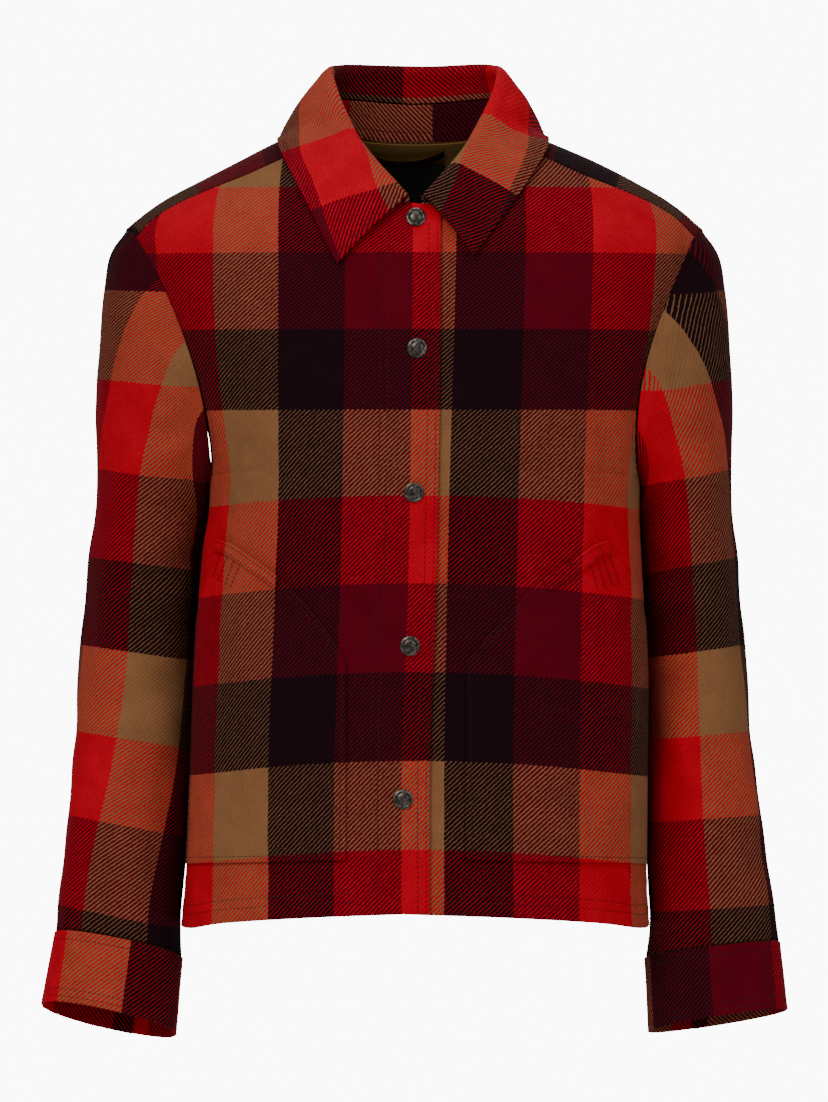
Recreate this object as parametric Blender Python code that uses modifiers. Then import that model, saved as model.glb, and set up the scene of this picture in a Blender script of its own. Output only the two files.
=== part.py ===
"""Checked wool jacket with a snap front, as hollow cloth solids.

Metres, +Z up, front towards -Y. The origin is midway between the shoulders at the height of the neck,
where the wearer's shoulders hold the jacket. The wearer's right is -X.
"""
import math

import bmesh
import bpy
import numpy as np
from mathutils import Vector

MM = 0.001

# Cloth
WALL = 2.0 * MM
THIN_WALL = 1.0 * MM
POCKET_WALL = 1.6 * MM
SEAM_GAP = 0.5 * MM
LAY_GAP = 0.7 * MM
POCKET_GAP = 0.9 * MM
SEAM_DRAW = 0.2 * MM
SHOULDER_DRAW = 0.45 * MM
RIGHT = -1
LEFT = 1
FRONT = -1
BACK = 1

# Body form: level sections, each a rounded oblong
BODY_SECTIONS = (
    # height, right half width, left half width, front depth, back depth, squareness
    (-630.0, 187.0, 187.0, 118.0, 114.0, 2.5),
    (-568.0, 181.6, 184.2, 115.0, 110.0, 2.5),
    (-497.0, 178.4, 184.8, 113.0, 107.0, 2.5),
    (-428.0, 176.0, 185.4, 112.5, 104.0, 2.5),
    (-356.0, 172.0, 181.8, 114.0, 104.0, 2.5),
    (-313.0, 168.0, 179.5, 116.5, 107.0, 2.5),
    (-285.0, 163.5, 178.4, 118.0, 109.0, 2.5),
    (-262.0, 163.0, 179.0, 119.0, 110.5, 2.5),
    (-220.0, 173.0, 187.0, 118.0, 112.5, 2.5),
    (-156.0, 201.0, 206.0, 114.5, 113.0, 2.45),
    (-103.0, 224.0, 225.0, 109.0, 108.5, 2.35),
    (-68.8, 232.0, 231.0, 103.5, 103.5, 2.25),
    (-46.4, 208.0, 208.0, 96.0, 97.0, 2.15),
    (-21.6, 163.0, 166.0, 84.0, 87.0, 2.1),
    (-9.6, 140.0, 142.0, 76.0, 80.0, 2.05),
    (6.4, 109.0, 105.0, 61.0, 66.5, 2.0),
    (18.0, 79.0, 78.0, 42.0, 50.0, 2.0),
    (30.0, 40.0, 40.0, 22.0, 28.0, 2.0),
)
SHOULDER_HEIGHT = -68.8 * MM
SHOULDER_HALF = 231.5 * MM
UNDERARM_HEIGHT = -262.0 * MM

# Cut edges, as distances out from the middle of the jacket
HEM_FRONT = (
    # share from the closing edge to the side seam, height
    (0.0, -608.0),
    (0.35, -611.5),
    (0.65, -616.5),
    (0.85, -621.5),
    (1.0, -619.0),
)
HEM_BACK = (
    # share from the middle of the back to the side seam, height
    (0.0, -607.0),
    (0.6, -611.0),
    (1.0, -619.0),
)
CLOSING_EDGE = (
    # height, distance past the middle
    (-610.0, 11.6),
    (-520.0, 11.6),
    (-318.0, 17.6),
    (-80.0, 20.6),
    (-40.0, 20.6),
)
UNDERLAP = 30.0 * MM
LAP_DROP = WALL + 1.3 * MM
LAP_FADE_START = 16.0 * MM
LAP_FADE = 13.0 * MM
FRONT_ARMHOLE = (
    # height, right distance out, left distance out
    (-262.0, 163.0, 179.0),
    (-258.0, 161.8, 177.8),
    (-248.0, 160.3, 175.2),
    (-222.0, 163.2, 174.6),
    (-190.0, 170.0, 178.5),
    (-156.0, 180.8, 187.0),
    (-103.0, 203.2, 207.5),
    (-70.4, 222.4, 222.0),
)
BACK_ARMHOLE = (
    # height, right distance out, left distance out
    (-262.0, 163.0, 179.0),
    (-257.0, 162.6, 178.4),
    (-246.0, 162.4, 177.2),
    (-218.0, 167.5, 180.0),
    (-156.0, 187.0, 192.0),
    (-103.0, 211.5, 213.0),
    (-68.8, 231.5, 231.0),
)
SHOULDER_SEAM = (
    # distance out, height
    (78.0, 4.0),
    (107.2, -9.6),
    (138.0, -23.5),
    (167.0, -34.4),
    (203.0, -51.2),
    (222.2, -70.4),
)
FRONT_NECK = (
    # distance out, height
    (-30.0, -47.0),
    (4.0, -44.0),
    (30.0, -39.0),
    (55.0, -25.0),
    (71.0, -9.0),
    (78.0, 4.0),
)
BACK_NECK = (
    # share of the neck edge, distance out, depth, height
    (0.0, 0.0, 65.5, 8.0),
    (0.25, 29.0, 62.0, 9.0),
    (0.5, 56.0, 47.0, 13.0),
    (0.76, 72.5, 18.0, 18.0),
    (1.0, 76.5, -10.0, 18.2),
)
BODY_ROWS_BELOW = 13
BODY_ROWS_ABOVE = 11
SHOULDER_COLUMNS = 8
FRONT_NECK_COLUMNS = 9
FRONT_COLUMNS = FRONT_NECK_COLUMNS + SHOULDER_COLUMNS
BACK_NECK_COLUMNS = 6
BACK_HALF_COLUMNS = BACK_NECK_COLUMNS + 1 + SHOULDER_COLUMNS
NECK_CORNER_RIDGE = 84.0 * MM
EVEN_ZONE = 0.5

# Sleeves: rings from below the underarm to the cuff seam
SLEEVE_RINGS = {
    RIGHT: (
        # outer reach, outer height, inner reach, inner height, middle depth, half depth, tilt
        (256.0, -285.0, 166.4, -296.0, 31.0, 61.0, 0.0),
        (260.8, -326.4, 171.6, -338.0, 35.0, 57.0, 0.0),
        (267.2, -398.4, 175.8, -411.0, 36.0, 51.0, -1.0),
        (272.0, -464.0, 178.8, -478.0, 32.0, 47.0, -2.0),
        (277.6, -532.0, 182.4, -548.0, 26.0, 43.0, -4.0),
        (284.0, -604.0, 188.8, -623.0, 18.0, 39.0, -6.0),
        (286.2, -625.6, 188.4, -645.5, 14.0, 37.5, -7.0),
    ),
    LEFT: (
        (254.0, -285.0, 180.2, -296.0, 34.0, 61.0, 0.0),
        (257.6, -326.4, 181.9, -338.0, 36.0, 57.0, 0.0),
        (263.2, -394.4, 185.5, -407.0, 36.0, 51.0, -1.0),
        (268.8, -464.8, 186.1, -478.0, 32.0, 47.0, -2.0),
        (277.5, -536.0, 186.1, -550.0, 26.0, 43.0, -3.0),
        (285.6, -604.0, 189.1, -622.0, 18.0, 39.0, -4.0),
        (290.2, -632.8, 186.4, -645.5, 14.0, 37.5, -4.0),
    ),
}
SLEEVE_SQUARENESS = 2.2
SLEEVE_AROUND = 26
SLEEVE_CAP_ROWS = 7
SLEEVE_TUBE_ROWS = 11
CAP_REACH = 99.0 * MM
UNDERARM_STEP = 2.9 * MM

# Cuffs: a top and a bottom ring, lapped at the back
CUFF_RINGS = {
    RIGHT: (
        (288.0, -626.5, 187.0, -646.5, 14.0, 38.8, -7.0),
        (298.2, -684.0, 192.0, -707.5, 6.0, 36.5, -9.0),
    ),
    LEFT: (
        (291.8, -633.7, 184.8, -646.5, 14.0, 38.8, -4.0),
        (297.2, -688.0, 187.6, -705.5, 6.0, 36.5, -5.0),
    ),
}
CUFF_AROUND = 30
CUFF_ROWS = 3
CUFF_LAP_START = 252.0
CUFF_LAP = 38.0
CUFF_LIFT_START = 300.0
CUFF_LIFT_RUN = 58.0

# Collar: a row for each station from the middle of the back to a front end
COLLAR_STATIONS = (0.0, 0.3, 0.5, 0.66, 0.82, 1.0)
COLLAR_LINES = {
    "neck": (
        # distance out, depth, height
        (0.0, 66.5, 9.4),
        (50.0, 52.0, 14.0),
        (74.0, 13.0, 20.5),
        (75.0, -30.0, 12.5),
        (54.5, -70.0, -20.5),
        (12.0, -95.5, -41.5),
    ),
    "seam": (
        (0.0, 69.5, 38.0),
        (49.5, 55.0, 41.0),
        (71.5, 17.0, 42.0),
        (70.0, -12.0, 33.0),
        (50.5, -57.0, -5.0),
        (6.0, -99.0, -46.0),
    ),
    "roll": (
        (0.0, 73.0, 69.0),
        (47.5, 59.0, 69.5),
        (66.0, 23.0, 65.5),
        (59.5, -16.0, 41.5),
        (40.0, -58.5, 1.5),
        (5.0, -101.5, -38.0),
    ),
}
COLLAR_EDGE = {
    RIGHT: (
        # distance out, depth, height
        (0.0, 103.0, 10.0),
        (76.0, 84.0, 10.0),
        (107.0, 24.0, 14.0),
        (103.0, -24.0, -6.0),
        (87.0, -68.0, -42.0),
        (61.6, -110.0, -92.8),
    ),
    LEFT: (
        (0.0, 103.0, 10.0),
        (74.0, 84.0, 10.0),
        (103.0, 24.0, 14.0),
        (99.0, -24.0, -8.0),
        (80.0, -70.0, -43.0),
        (46.0, -111.0, -86.4),
    ),
}
COLLAR_HALF_COLUMNS = 17
COLLAR_FALL_ROWS = 5
ROLL_RADIUS = 2.4 * MM
LEAF_SEAM_GAP = 1.2 * MM
FALL_CROWN = 3.0 * MM
FALL_CLEARANCE = 3.2 * MM
FALL_REST_HEIGHT = 22.0 * MM
STAND_ROWS = 2
STAND_END = 0.9
NECK_MIDDLE_DEPTH = -15.0 * MM

# Patch pockets: inner edge, mouth and foot in the front view
POCKET_FOOT = (
    # share from the inner edge to the side, height
    (0.0, -566.0),
    (0.5, -568.5),
    (1.0, -570.5),
)
POCKET_INNER = {RIGHT: 54.5 * MM, LEFT: 40.0 * MM}
POCKET_MOUTH = {
    RIGHT: (
        # share from the inner edge to the side, height
        (0.0, -408.0),
        (0.12, -372.0),
        (0.3, -346.0),
        (0.6, -324.5),
        (0.86, -314.0),
        (1.0, -312.0),
    ),
    LEFT: (
        (0.0, -408.0),
        (0.12, -375.0),
        (0.3, -347.0),
        (0.6, -327.0),
        (0.86, -315.5),
        (1.0, -313.0),
    ),
}
POCKET_TOP_REACH = {RIGHT: 155.0 * MM, LEFT: 151.0 * MM}
POCKET_COLUMNS = 12
POCKET_ROWS = 12
POCKET_SIDE_ANGLE = 81.0
POCKET_NARROW_HEIGHT = -372.0 * MM
POCKET_NARROW_RUN = 58.0 * MM
BAND_WIDTH = 9.0 * MM
BAND_COLUMNS = 10
BAND_START = 0.34

# Snap caps
SNAP_PLACES = ((0.8, -56.0), (1.6, -160.0), (-0.8, -274.4), (-4.0, -396.0), (-9.6, -517.6))
SNAP_RADIUS = 7.8 * MM
SNAP_HEIGHT = 3.0 * MM
SNAP_SIDES = 20
SNAP_GAP = 0.5 * MM

# Neck furniture
LABEL_HALF_WIDTH = 28.0 * MM
LABEL_MIDDLE = -4.0 * MM
LABEL_TOP = -6.0 * MM
LABEL_HEIGHT = 44.0 * MM
LINING_DEPTH = 2.6 * MM
LINING_ROWS = 7
LINING_HALF_COLUMNS = 6
LABEL_DEPTH = 4.9 * MM
LOOP_HALF = 34.0 * MM
LOOP_MIDDLE = -10.0 * MM
LOOP_WIDTH = 5.0 * MM
LOOP_SAG = 7.0 * MM
LOOP_HEIGHT = 2.0 * MM
LOOP_DEPTH = 5.4 * MM
LOOP_BOW = 3.0 * MM
LOOP_STEPS = 10

# Lengths along level lines, kept for each height, side and facing
level_tables = {}

COLOURS = {
    # material: (red, green, blue, roughness, metallic)
    "wool_check": (0.33, 0.03, 0.035, 0.92, 0.0),
    "lining_cloth": (0.16, 0.10, 0.03, 0.75, 0.0),
    "label_cloth": (0.012, 0.01, 0.011, 0.7, 0.0),
    "snap_metal": (0.10, 0.09, 0.08, 0.38, 1.0),
}


def track(stations, values):
    """Return a function that runs smoothly through the values without overshoot."""
    count = len(stations)
    rises = [(values[i + 1] - values[i]) / (stations[i + 1] - stations[i]) for i in range(count - 1)]
    slopes = [rises[0]]
    for before, after in zip(rises, rises[1:]):
        same_way = before * after > 0.0
        slopes.append(2.0 * before * after / (before + after) if same_way else 0.0)
    slopes.append(rises[-1])

    def value(at):
        index = 0
        while index < count - 2 and at > stations[index + 1]:
            index += 1
        span = stations[index + 1] - stations[index]
        t = min(max((at - stations[index]) / span, 0.0), 1.0)
        start = values[index] * (1 + 2 * t) * (1 - t) ** 2 + values[index + 1] * t * t * (3 - 2 * t)
        bend = slopes[index] * t * (1 - t) ** 2 - slopes[index + 1] * t * t * (1 - t)
        return start + bend * span

    return value


def column_track(table, column, key=0, key_scale=MM, scale=MM):
    """Return a smooth function of one column of a table."""
    stations = [row[key] * key_scale for row in table]
    return track(stations, [row[column] * scale for row in table])


HALF_WIDTH = {RIGHT: column_track(BODY_SECTIONS, 1), LEFT: column_track(BODY_SECTIONS, 2)}
DEPTH = {FRONT: column_track(BODY_SECTIONS, 3), BACK: column_track(BODY_SECTIONS, 4)}
SQUARENESS = column_track(BODY_SECTIONS, 5, scale=1.0)
EDGE_PAST = column_track(CLOSING_EDGE, 1)
FRONT_ARM = {RIGHT: column_track(FRONT_ARMHOLE, 1), LEFT: column_track(FRONT_ARMHOLE, 2)}
BACK_ARM = {RIGHT: column_track(BACK_ARMHOLE, 1), LEFT: column_track(BACK_ARMHOLE, 2)}


def depth_at(x, height, facing):
    """Return the y of the body form at a place in the front view."""
    side = LEFT if x > 0 else RIGHT
    power = SQUARENESS(height)
    inside = 1.0 - (abs(x) / HALF_WIDTH[side](height)) ** power
    return facing * DEPTH[facing](height) * max(inside, 0.0) ** (1.0 / power)


def form_excess(point):
    """Return how far outside the body form a point lies, roughly in metres."""
    def scaled(p):
        side = LEFT if p.x > 0 else RIGHT
        facing = BACK if p.y > 0 else FRONT
        power = SQUARENESS(p.z)
        total = (abs(p.x) / HALF_WIDTH[side](p.z)) ** power + (abs(p.y) / DEPTH[facing](p.z)) ** power
        return total ** (1.0 / power) - 1.0

    step = 0.5 * MM
    here = scaled(point)
    slope = Vector([
        (scaled(point + axis * step) - scaled(point - axis * step)) / (2.0 * step)
        for axis in (Vector((1, 0, 0)), Vector((0, 1, 0)), Vector((0, 0, 1)))
    ])
    return here / slope.length, slope.normalized()


def moved_out(point, distance):
    """Return a point of the form moved along the form's outward direction."""
    return point + form_excess(point)[1] * distance


def ridge_height(reach, side):
    """Return the height of the shoulder ridge at a distance out."""
    low, high = SHOULDER_HEIGHT, 30.0 * MM
    for _ in range(40):
        middle = 0.5 * (low + high)
        if HALF_WIDTH[side](middle) > reach:
            low = middle
        else:
            high = middle
    return low


def resample(points, count):
    """Return count + 1 points spaced evenly along a line of points."""
    lengths = [0.0]
    for before, after in zip(points, points[1:]):
        lengths.append(lengths[-1] + (after - before).length)
    spaced = []
    index = 0
    for step in range(count + 1):
        goal = lengths[-1] * step / count
        while index < len(points) - 2 and lengths[index + 1] < goal:
            index += 1
        span = lengths[index + 1] - lengths[index]
        share = (goal - lengths[index]) / span if span > 0 else 0.0
        spaced.append(points[index].lerp(points[index + 1], min(max(share, 0.0), 1.0)))
    return spaced


def level_line(height, side, facing, start, count):
    """Return a level line of the form from a distance out to the side seam."""
    power = SQUARENESS(height)
    half = HALF_WIDTH[side](height)
    first = math.copysign(math.asin(min((abs(start) / half) ** (power / 2.0), 1.0)), start)
    points = []
    for step in range(121):
        angle = first + (math.pi / 2.0 - first) * step / 120
        reach = math.copysign(half * abs(math.sin(angle)) ** (2.0 / power), math.sin(angle))
        points.append(Vector((side * reach, depth_at(side * reach, height, facing), height)))
    return resample(points, count)


def level_table(height, side, facing):
    """Return the distances out along a level line of the form, and the lengths to them."""
    key = (round(height, 7), side, facing)
    if key not in level_tables:
        half, power = HALF_WIDTH[side](height), SQUARENESS(height)
        angles = np.linspace(0.0, math.pi / 2.0, 91)
        reach = half * np.sin(angles) ** (2.0 / power)
        depth = DEPTH[facing](height) * np.cos(angles).clip(0.0) ** (2.0 / power)
        steps = np.hypot(np.diff(reach), np.diff(depth))
        level_tables[key] = reach, np.concatenate(([0.0], np.cumsum(steps)))
    return level_tables[key]


def length_out(reach, height, side, facing):
    """Return the length along a level line from the middle to a distance out."""
    reaches, lengths = level_table(height, side, facing)
    return math.copysign(float(np.interp(abs(reach), reaches, lengths)), reach)


def reach_at(length, height, side, facing):
    """Return the distance out at a length along a level line."""
    reaches, lengths = level_table(height, side, facing)
    return math.copysign(float(np.interp(abs(length), lengths, reaches)), length)


def shoulder_points():
    """Return the shoulder seam's points on the front of the form, for the right side."""
    seam = [Vector((x * MM, 0.0, z * MM)) for x, z in SHOULDER_SEAM]
    for point in seam:
        point.y = depth_at(point.x, point.z, FRONT)
    return resample(seam, SHOULDER_COLUMNS)


def guided_point(side, facing, height, rise, share, by_reach, inner, outer):
    """Return a column's point: spaced evenly on level lines low down, by distance out higher up."""
    start = length_out(inner, height, side, facing)
    end = length_out(outer, height, side, facing)
    even = start + (end - start) * share
    straight = length_out(inner + (outer - inner) * by_reach, height, side, facing)
    t = min(rise / EVEN_ZONE, 1.0)
    x = side * reach_at(even + (straight - even) * t * t * (3 - 2 * t), height, side, facing)
    return Vector((x, depth_at(x, height, facing), height))


def inner_edge(side, height):
    """Return the distance out of a front's closing edge, below zero past the middle."""
    return -EDGE_PAST(height) if side == RIGHT else -UNDERLAP


def front_top(side):
    """Return the top edge of a front as distances out and heights, column by column."""
    neck = [Vector((max(x * MM, inner_edge(side, -0.045)), z * MM, 0.0)) for x, z in FRONT_NECK]
    seam = [Vector((point.x, point.z, 0.0)) for point in shoulder_points()]
    return resample(neck, FRONT_NECK_COLUMNS) + seam[1:]


def front_grid(side):
    """Return the rows of points of one front, hem first, closing edge first in each."""
    hem = track([row[0] for row in HEM_FRONT], [row[1] * MM for row in HEM_FRONT])
    rows = []
    for step in range(BODY_ROWS_BELOW + 1):
        share = step / BODY_ROWS_BELOW
        row = []
        for column in range(FRONT_COLUMNS + 1):
            bottom = hem(column / FRONT_COLUMNS)
            height = bottom + (UNDERARM_HEIGHT - bottom) * share
            line = level_line(height, side, FRONT, inner_edge(side, height), FRONT_COLUMNS)
            row.append(line[column])
        rows.append(row)
    base = rows[-1]
    columns = []
    for column, top in enumerate(front_top(side)):
        base_inner, top_inner = inner_edge(side, UNDERARM_HEIGHT), inner_edge(side, top.y)
        first = (side * base[column].x - base_inner) / (FRONT_ARM[side](UNDERARM_HEIGHT) - base_inner)
        last = (top.x - top_inner) / (FRONT_ARM[side](top.y) - top_inner)
        line = []
        for step in range(101):
            rise = step / 100
            height = UNDERARM_HEIGHT + (top.y - UNDERARM_HEIGHT) * rise
            inner, outer = inner_edge(side, height), FRONT_ARM[side](height)
            by_reach = first + (last - first) * rise
            share = column / FRONT_COLUMNS
            line.append(guided_point(side, FRONT, height, rise, share, by_reach, inner, outer))
        columns.append(resample(line, BODY_ROWS_ABOVE))
    for step in range(1, BODY_ROWS_ABOVE + 1):
        rows.append([column[step] for column in columns])
    return rows


def sink_under_edge(rows):
    """Return the left front's rows with the part under the closing edge moved in."""
    sunk = []
    for row in rows:
        line = []
        for point in row:
            past = (EDGE_PAST(point.z) + LAP_FADE_START - point.x) / LAP_FADE
            share = min(max(past, 0.0), 1.0)
            line.append(moved_out(point, -LAP_DROP * share * share * (3 - 2 * share)))
        sunk.append(line)
    return sunk


def back_top():
    """Return the top edge of half the back, with the reach at the ridge of each column."""
    share = [row[0] for row in BACK_NECK]
    reach, depth, height = (track(share, [row[i] * MM for row in BACK_NECK]) for i in (1, 2, 3))
    neck = [Vector((reach(s / 60), depth(s / 60), height(s / 60))) for s in range(61)]
    ends = [(point, point.x) for point in resample(neck, BACK_NECK_COLUMNS)]
    seam = shoulder_points()
    for index, point in enumerate(seam):
        along = index / (len(seam) - 1)
        ridge = NECK_CORNER_RIDGE + (SHOULDER_HALF - NECK_CORNER_RIDGE) * along
        ends.append((point, ridge))
    return ends


def back_column(side, base, share, top, ridge_reach):
    """Return one column of the back, from the underarm's height to the top edge."""
    over_ridge = top.y < 0.0
    limit = ridge_height(ridge_reach, side) if over_ridge else top.z
    first = abs(base.x) / BACK_ARM[side](UNDERARM_HEIGHT)
    last = ridge_reach / BACK_ARM[side](limit)
    line = []
    for step in range(101):
        rise = 1.0 - (1.0 - step / 100) ** 2
        height = UNDERARM_HEIGHT + (limit - UNDERARM_HEIGHT) * rise
        by_reach = first + (last - first) * rise
        outer = BACK_ARM[side](height)
        line.append(guided_point(side, BACK, height, rise, share, by_reach, 0.0, outer))
    if over_ridge:
        for step in range(1, 41):
            along = step / 40
            reach = ridge_reach + (top.x - ridge_reach) * along
            drop = (ridge_height(top.x, side) - top.z) * along * along
            height = ridge_height(reach, side) - drop
            line.append(Vector((side * reach, depth_at(side * reach, height, FRONT), height)))
    return resample(line, BODY_ROWS_ABOVE)


def back_grid():
    """Return the rows of points of the back, hem first, from the right side to the left."""
    hem = track([row[0] for row in HEM_BACK], [row[1] * MM for row in HEM_BACK])
    halves = {}
    for side in (RIGHT, LEFT):
        rows = []
        for step in range(BODY_ROWS_BELOW + 1):
            row = []
            for column in range(BACK_HALF_COLUMNS + 1):
                bottom = hem(column / BACK_HALF_COLUMNS)
                height = bottom + (UNDERARM_HEIGHT - bottom) * step / BODY_ROWS_BELOW
                row.append(level_line(height, side, BACK, 0.0, BACK_HALF_COLUMNS)[column])
            rows.append(row)
        columns = []
        for index, (base, (top, ridge_reach)) in enumerate(zip(rows[-1], back_top())):
            columns.append(back_column(side, base, index / BACK_HALF_COLUMNS, top, ridge_reach))
        for step in range(1, BODY_ROWS_ABOVE + 1):
            rows.append([column[step] for column in columns])
        halves[side] = rows
    return [right[:0:-1] + left for right, left in zip(halves[RIGHT], halves[LEFT])]


def drawn_back(rows, first_column=False, last_column=False):
    """Return rows whose top edge and side seam columns are drawn back from the seams."""
    drawn = [list(row) for row in rows]
    ends = zip(rows[-1], rows[-2])
    drawn[-1] = [top + (below - top).normalized() * SHOULDER_DRAW for top, below in ends]
    for row in drawn:
        if first_column:
            row[0] = row[0] + (row[1] - row[0]).normalized() * SEAM_DRAW
        if last_column:
            row[-1] = row[-1] + (row[-2] - row[-1]).normalized() * SEAM_DRAW
    return drawn


def ring_point(section, side, angle, squareness, spread=0.0):
    """Return a point of a sleeve or cuff ring; 0 degrees is outside, 90 the front."""
    outer, outer_height, inner, inner_height, middle, half_depth, tilt = (v * MM for v in section)
    across, along = math.cos(math.radians(angle)), math.sin(math.radians(angle))
    power = 2.0 / squareness
    out_share = math.copysign(abs(across) ** power, across)
    front_share = math.copysign(abs(along) ** power, along)
    reach = 0.5 * (outer + inner) + (0.5 * (outer - inner) + spread) * out_share
    height = 0.5 * (outer_height + inner_height) + 0.5 * (outer_height - inner_height) * out_share
    return Vector((side * reach, middle - (half_depth + spread) * front_share, height - tilt * front_share))


def armhole_loop(side):
    """Return the closed armhole line: shoulder, front, underarm and back."""
    front = [row[-1] for row in front_grid(side)][BODY_ROWS_BELOW:]
    half = {RIGHT: 0, LEFT: -1}[side]
    back = [row[half] for row in back_grid()][BODY_ROWS_BELOW:]
    loop = list(reversed(front)) + back[1:]
    spaced = resample(loop, SLEEVE_AROUND)
    top = min(range(SLEEVE_AROUND), key=lambda i: -spaced[i].z)
    ring = spaced[:-1]
    return ring[top:] + ring[:top]


def sleeve_grid(side):
    """Return the rings of a sleeve, from the armhole to the cuff seam."""
    loop = armhole_loop(side)
    sections = SLEEVE_RINGS[side]
    angles = [360.0 * i / SLEEVE_AROUND for i in range(SLEEVE_AROUND)]
    first_ring = [ring_point(sections[0], side, a, SLEEVE_SQUARENESS) for a in angles]
    second_ring = [ring_point(sections[1], side, a, SLEEVE_SQUARENESS) for a in angles]
    rings = []
    for row in range(SLEEVE_CAP_ROWS + 1):
        t = row / SLEEVE_CAP_ROWS
        ring = []
        for i, angle in enumerate(angles):
            under = 0.5 - 0.5 * math.cos(math.radians(angle))
            away = Vector((side * (0.90 - 0.15 * under), 0.0, -0.44 - 0.2 * under)).normalized()
            off_form = form_excess(loop[i])[1] * UNDERARM_STEP * under ** 1.5
            start = loop[i] + Vector((side * SEAM_GAP, 0.0, 0.0)) + off_form
            leave = away * CAP_REACH * (1.0 - 0.62 * under)
            arrive = (second_ring[i] - first_ring[i]) * (1.6 - 0.9 * under)
            h00, h10 = (1 + 2 * t) * (1 - t) ** 2, t * (1 - t) ** 2
            h01, h11 = t * t * (3 - 2 * t), t * t * (t - 1)
            ring.append(start * h00 + leave * h10 + first_ring[i] * h01 + arrive * h11)
        rings.append(ring)
    stations = [0.0]
    for before, after in zip(sections, sections[1:]):
        stations.append(stations[-1] + before[1] - after[1])
    columns = [track(stations, [row[i] for row in sections]) for i in range(7)]
    for row in range(1, SLEEVE_TUBE_ROWS + 1):
        at = stations[-1] * row / SLEEVE_TUBE_ROWS
        section = [column(at) for column in columns]
        rings.append([ring_point(section, side, a, SLEEVE_SQUARENESS) for a in angles])
    return [ring + [ring[0]] for ring in rings]


def cuff_grid(side):
    """Return the rows of a cuff band, top first, from its inner end to its lapped end."""
    turn = 360.0 + CUFF_LAP
    rows = []
    for row in range(CUFF_ROWS + 1):
        share = row / CUFF_ROWS
        top, bottom = CUFF_RINGS[side]
        section = [a + (b - a) * share for a, b in zip(top, bottom)]
        line = []
        for step in range(CUFF_AROUND + 1):
            turned = turn * step / CUFF_AROUND
            lap = min(max((turned - CUFF_LIFT_START) / CUFF_LIFT_RUN, 0.0), 1.0)
            spread = (WALL + LAY_GAP) * lap * lap * (3 - 2 * lap)
            line.append(ring_point(section, side, CUFF_LAP_START + turned, SLEEVE_SQUARENESS, spread))
        rows.append(line)
    return rows


def collar_line(name, side, share):
    """Return a point of one of the collar's lines at a share from the back to a front end."""
    table = COLLAR_EDGE[side] if name == "edge" else COLLAR_LINES[name]
    stations = (-COLLAR_STATIONS[1],) + COLLAR_STATIONS
    mirrored = (-table[1][0], table[1][1], table[1][2])
    rows = (mirrored,) + table
    reach, depth, height = (track(stations, [row[i] * MM for row in rows])(share) for i in range(3))
    return Vector((side * reach, depth, height))


def leaf_section(side, share):
    """Return one cross-section of the collar leaf, from its inner seam to its outer edge."""
    seam, roll, edge = (collar_line(name, side, share) for name in ("seam", "roll", "edge"))
    before = collar_line("roll", side, max(share - 0.02, 0.0))
    after = collar_line("roll", side, min(share + 0.02, 1.0))
    rise = (roll - seam).normalized()
    outward = rise.cross(after - before).normalized()
    if outward.dot(Vector((roll.x, roll.y - NECK_MIDDLE_DEPTH, 0.0))) < 0.0:
        outward = -outward
    start = seam + rise * LEAF_SEAM_GAP
    inner = roll - rise * ROLL_RADIUS
    points = [start, start.lerp(inner, 0.5), inner, roll + outward * ROLL_RADIUS]
    points.append(inner + outward * 2.0 * ROLL_RADIUS)
    shoulder = points[-1]
    for step in range(1, COLLAR_FALL_ROWS + 1):
        t = step / COLLAR_FALL_ROWS
        points.append(shoulder.lerp(edge, t) + outward * FALL_CROWN * math.sin(math.pi * t))
    for index in range(4, len(points)):
        for _ in range(3):
            excess, away = form_excess(points[index])
            if points[index].z < FALL_REST_HEIGHT and excess < FALL_CLEARANCE:
                points[index] = points[index] + away * (FALL_CLEARANCE - excess)
    return points


def collar_grid(section):
    """Return a collar piece's rows, from the right front end round to the left one."""
    rows = []
    for column in range(-COLLAR_HALF_COLUMNS, COLLAR_HALF_COLUMNS + 1):
        side = LEFT if column > 0 else RIGHT
        rows.append(section(side, abs(column) / COLLAR_HALF_COLUMNS))
    return rows


def stand_section(side, share):
    """Return one cross-section of the collar stand, from the neck seam upward."""
    along = share * STAND_END
    neck, seam = collar_line("neck", side, along), collar_line("seam", side, along)
    return [neck.lerp(seam, step / STAND_ROWS) for step in range(STAND_ROWS + 1)]


def pocket_grid(side, lift):
    """Return the rows of a pocket patch laid on the front, foot first, inner edge first."""
    foot = track([row[0] for row in POCKET_FOOT], [row[1] * MM for row in POCKET_FOOT])
    mouth = track([row[0] for row in POCKET_MOUTH[side]], [row[1] * MM for row in POCKET_MOUTH[side]])
    rows = []
    for row in range(POCKET_ROWS + 1):
        rise = row / POCKET_ROWS
        line = []
        for column in range(POCKET_COLUMNS + 1):
            share = column / POCKET_COLUMNS
            height = foot(share) + (mouth(share) - foot(share)) * rise
            line.append(pocket_point(side, share, height, lift))
        rows.append(line)
    return rows


def pocket_point(side, share, height, lift):
    """Return a point of the pocket's patch at a share across and a height."""
    power = SQUARENESS(height)
    half = HALF_WIDTH[side](height)
    start = math.asin((POCKET_INNER[side] / half) ** (power / 2.0))
    side_end = math.radians(POCKET_SIDE_ANGLE)
    top_reach = POCKET_TOP_REACH[side]
    top_end = math.asin((top_reach / half) ** (power / 2.0))
    narrowing = min(max((height - POCKET_NARROW_HEIGHT) / POCKET_NARROW_RUN, 0.0), 1.0)
    end = side_end + (top_end - side_end) * narrowing
    angle = start + (end - start) * share
    x = side * half * math.sin(angle) ** (2.0 / power)
    return moved_out(Vector((x, depth_at(x, height, FRONT), height)), lift)


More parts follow.
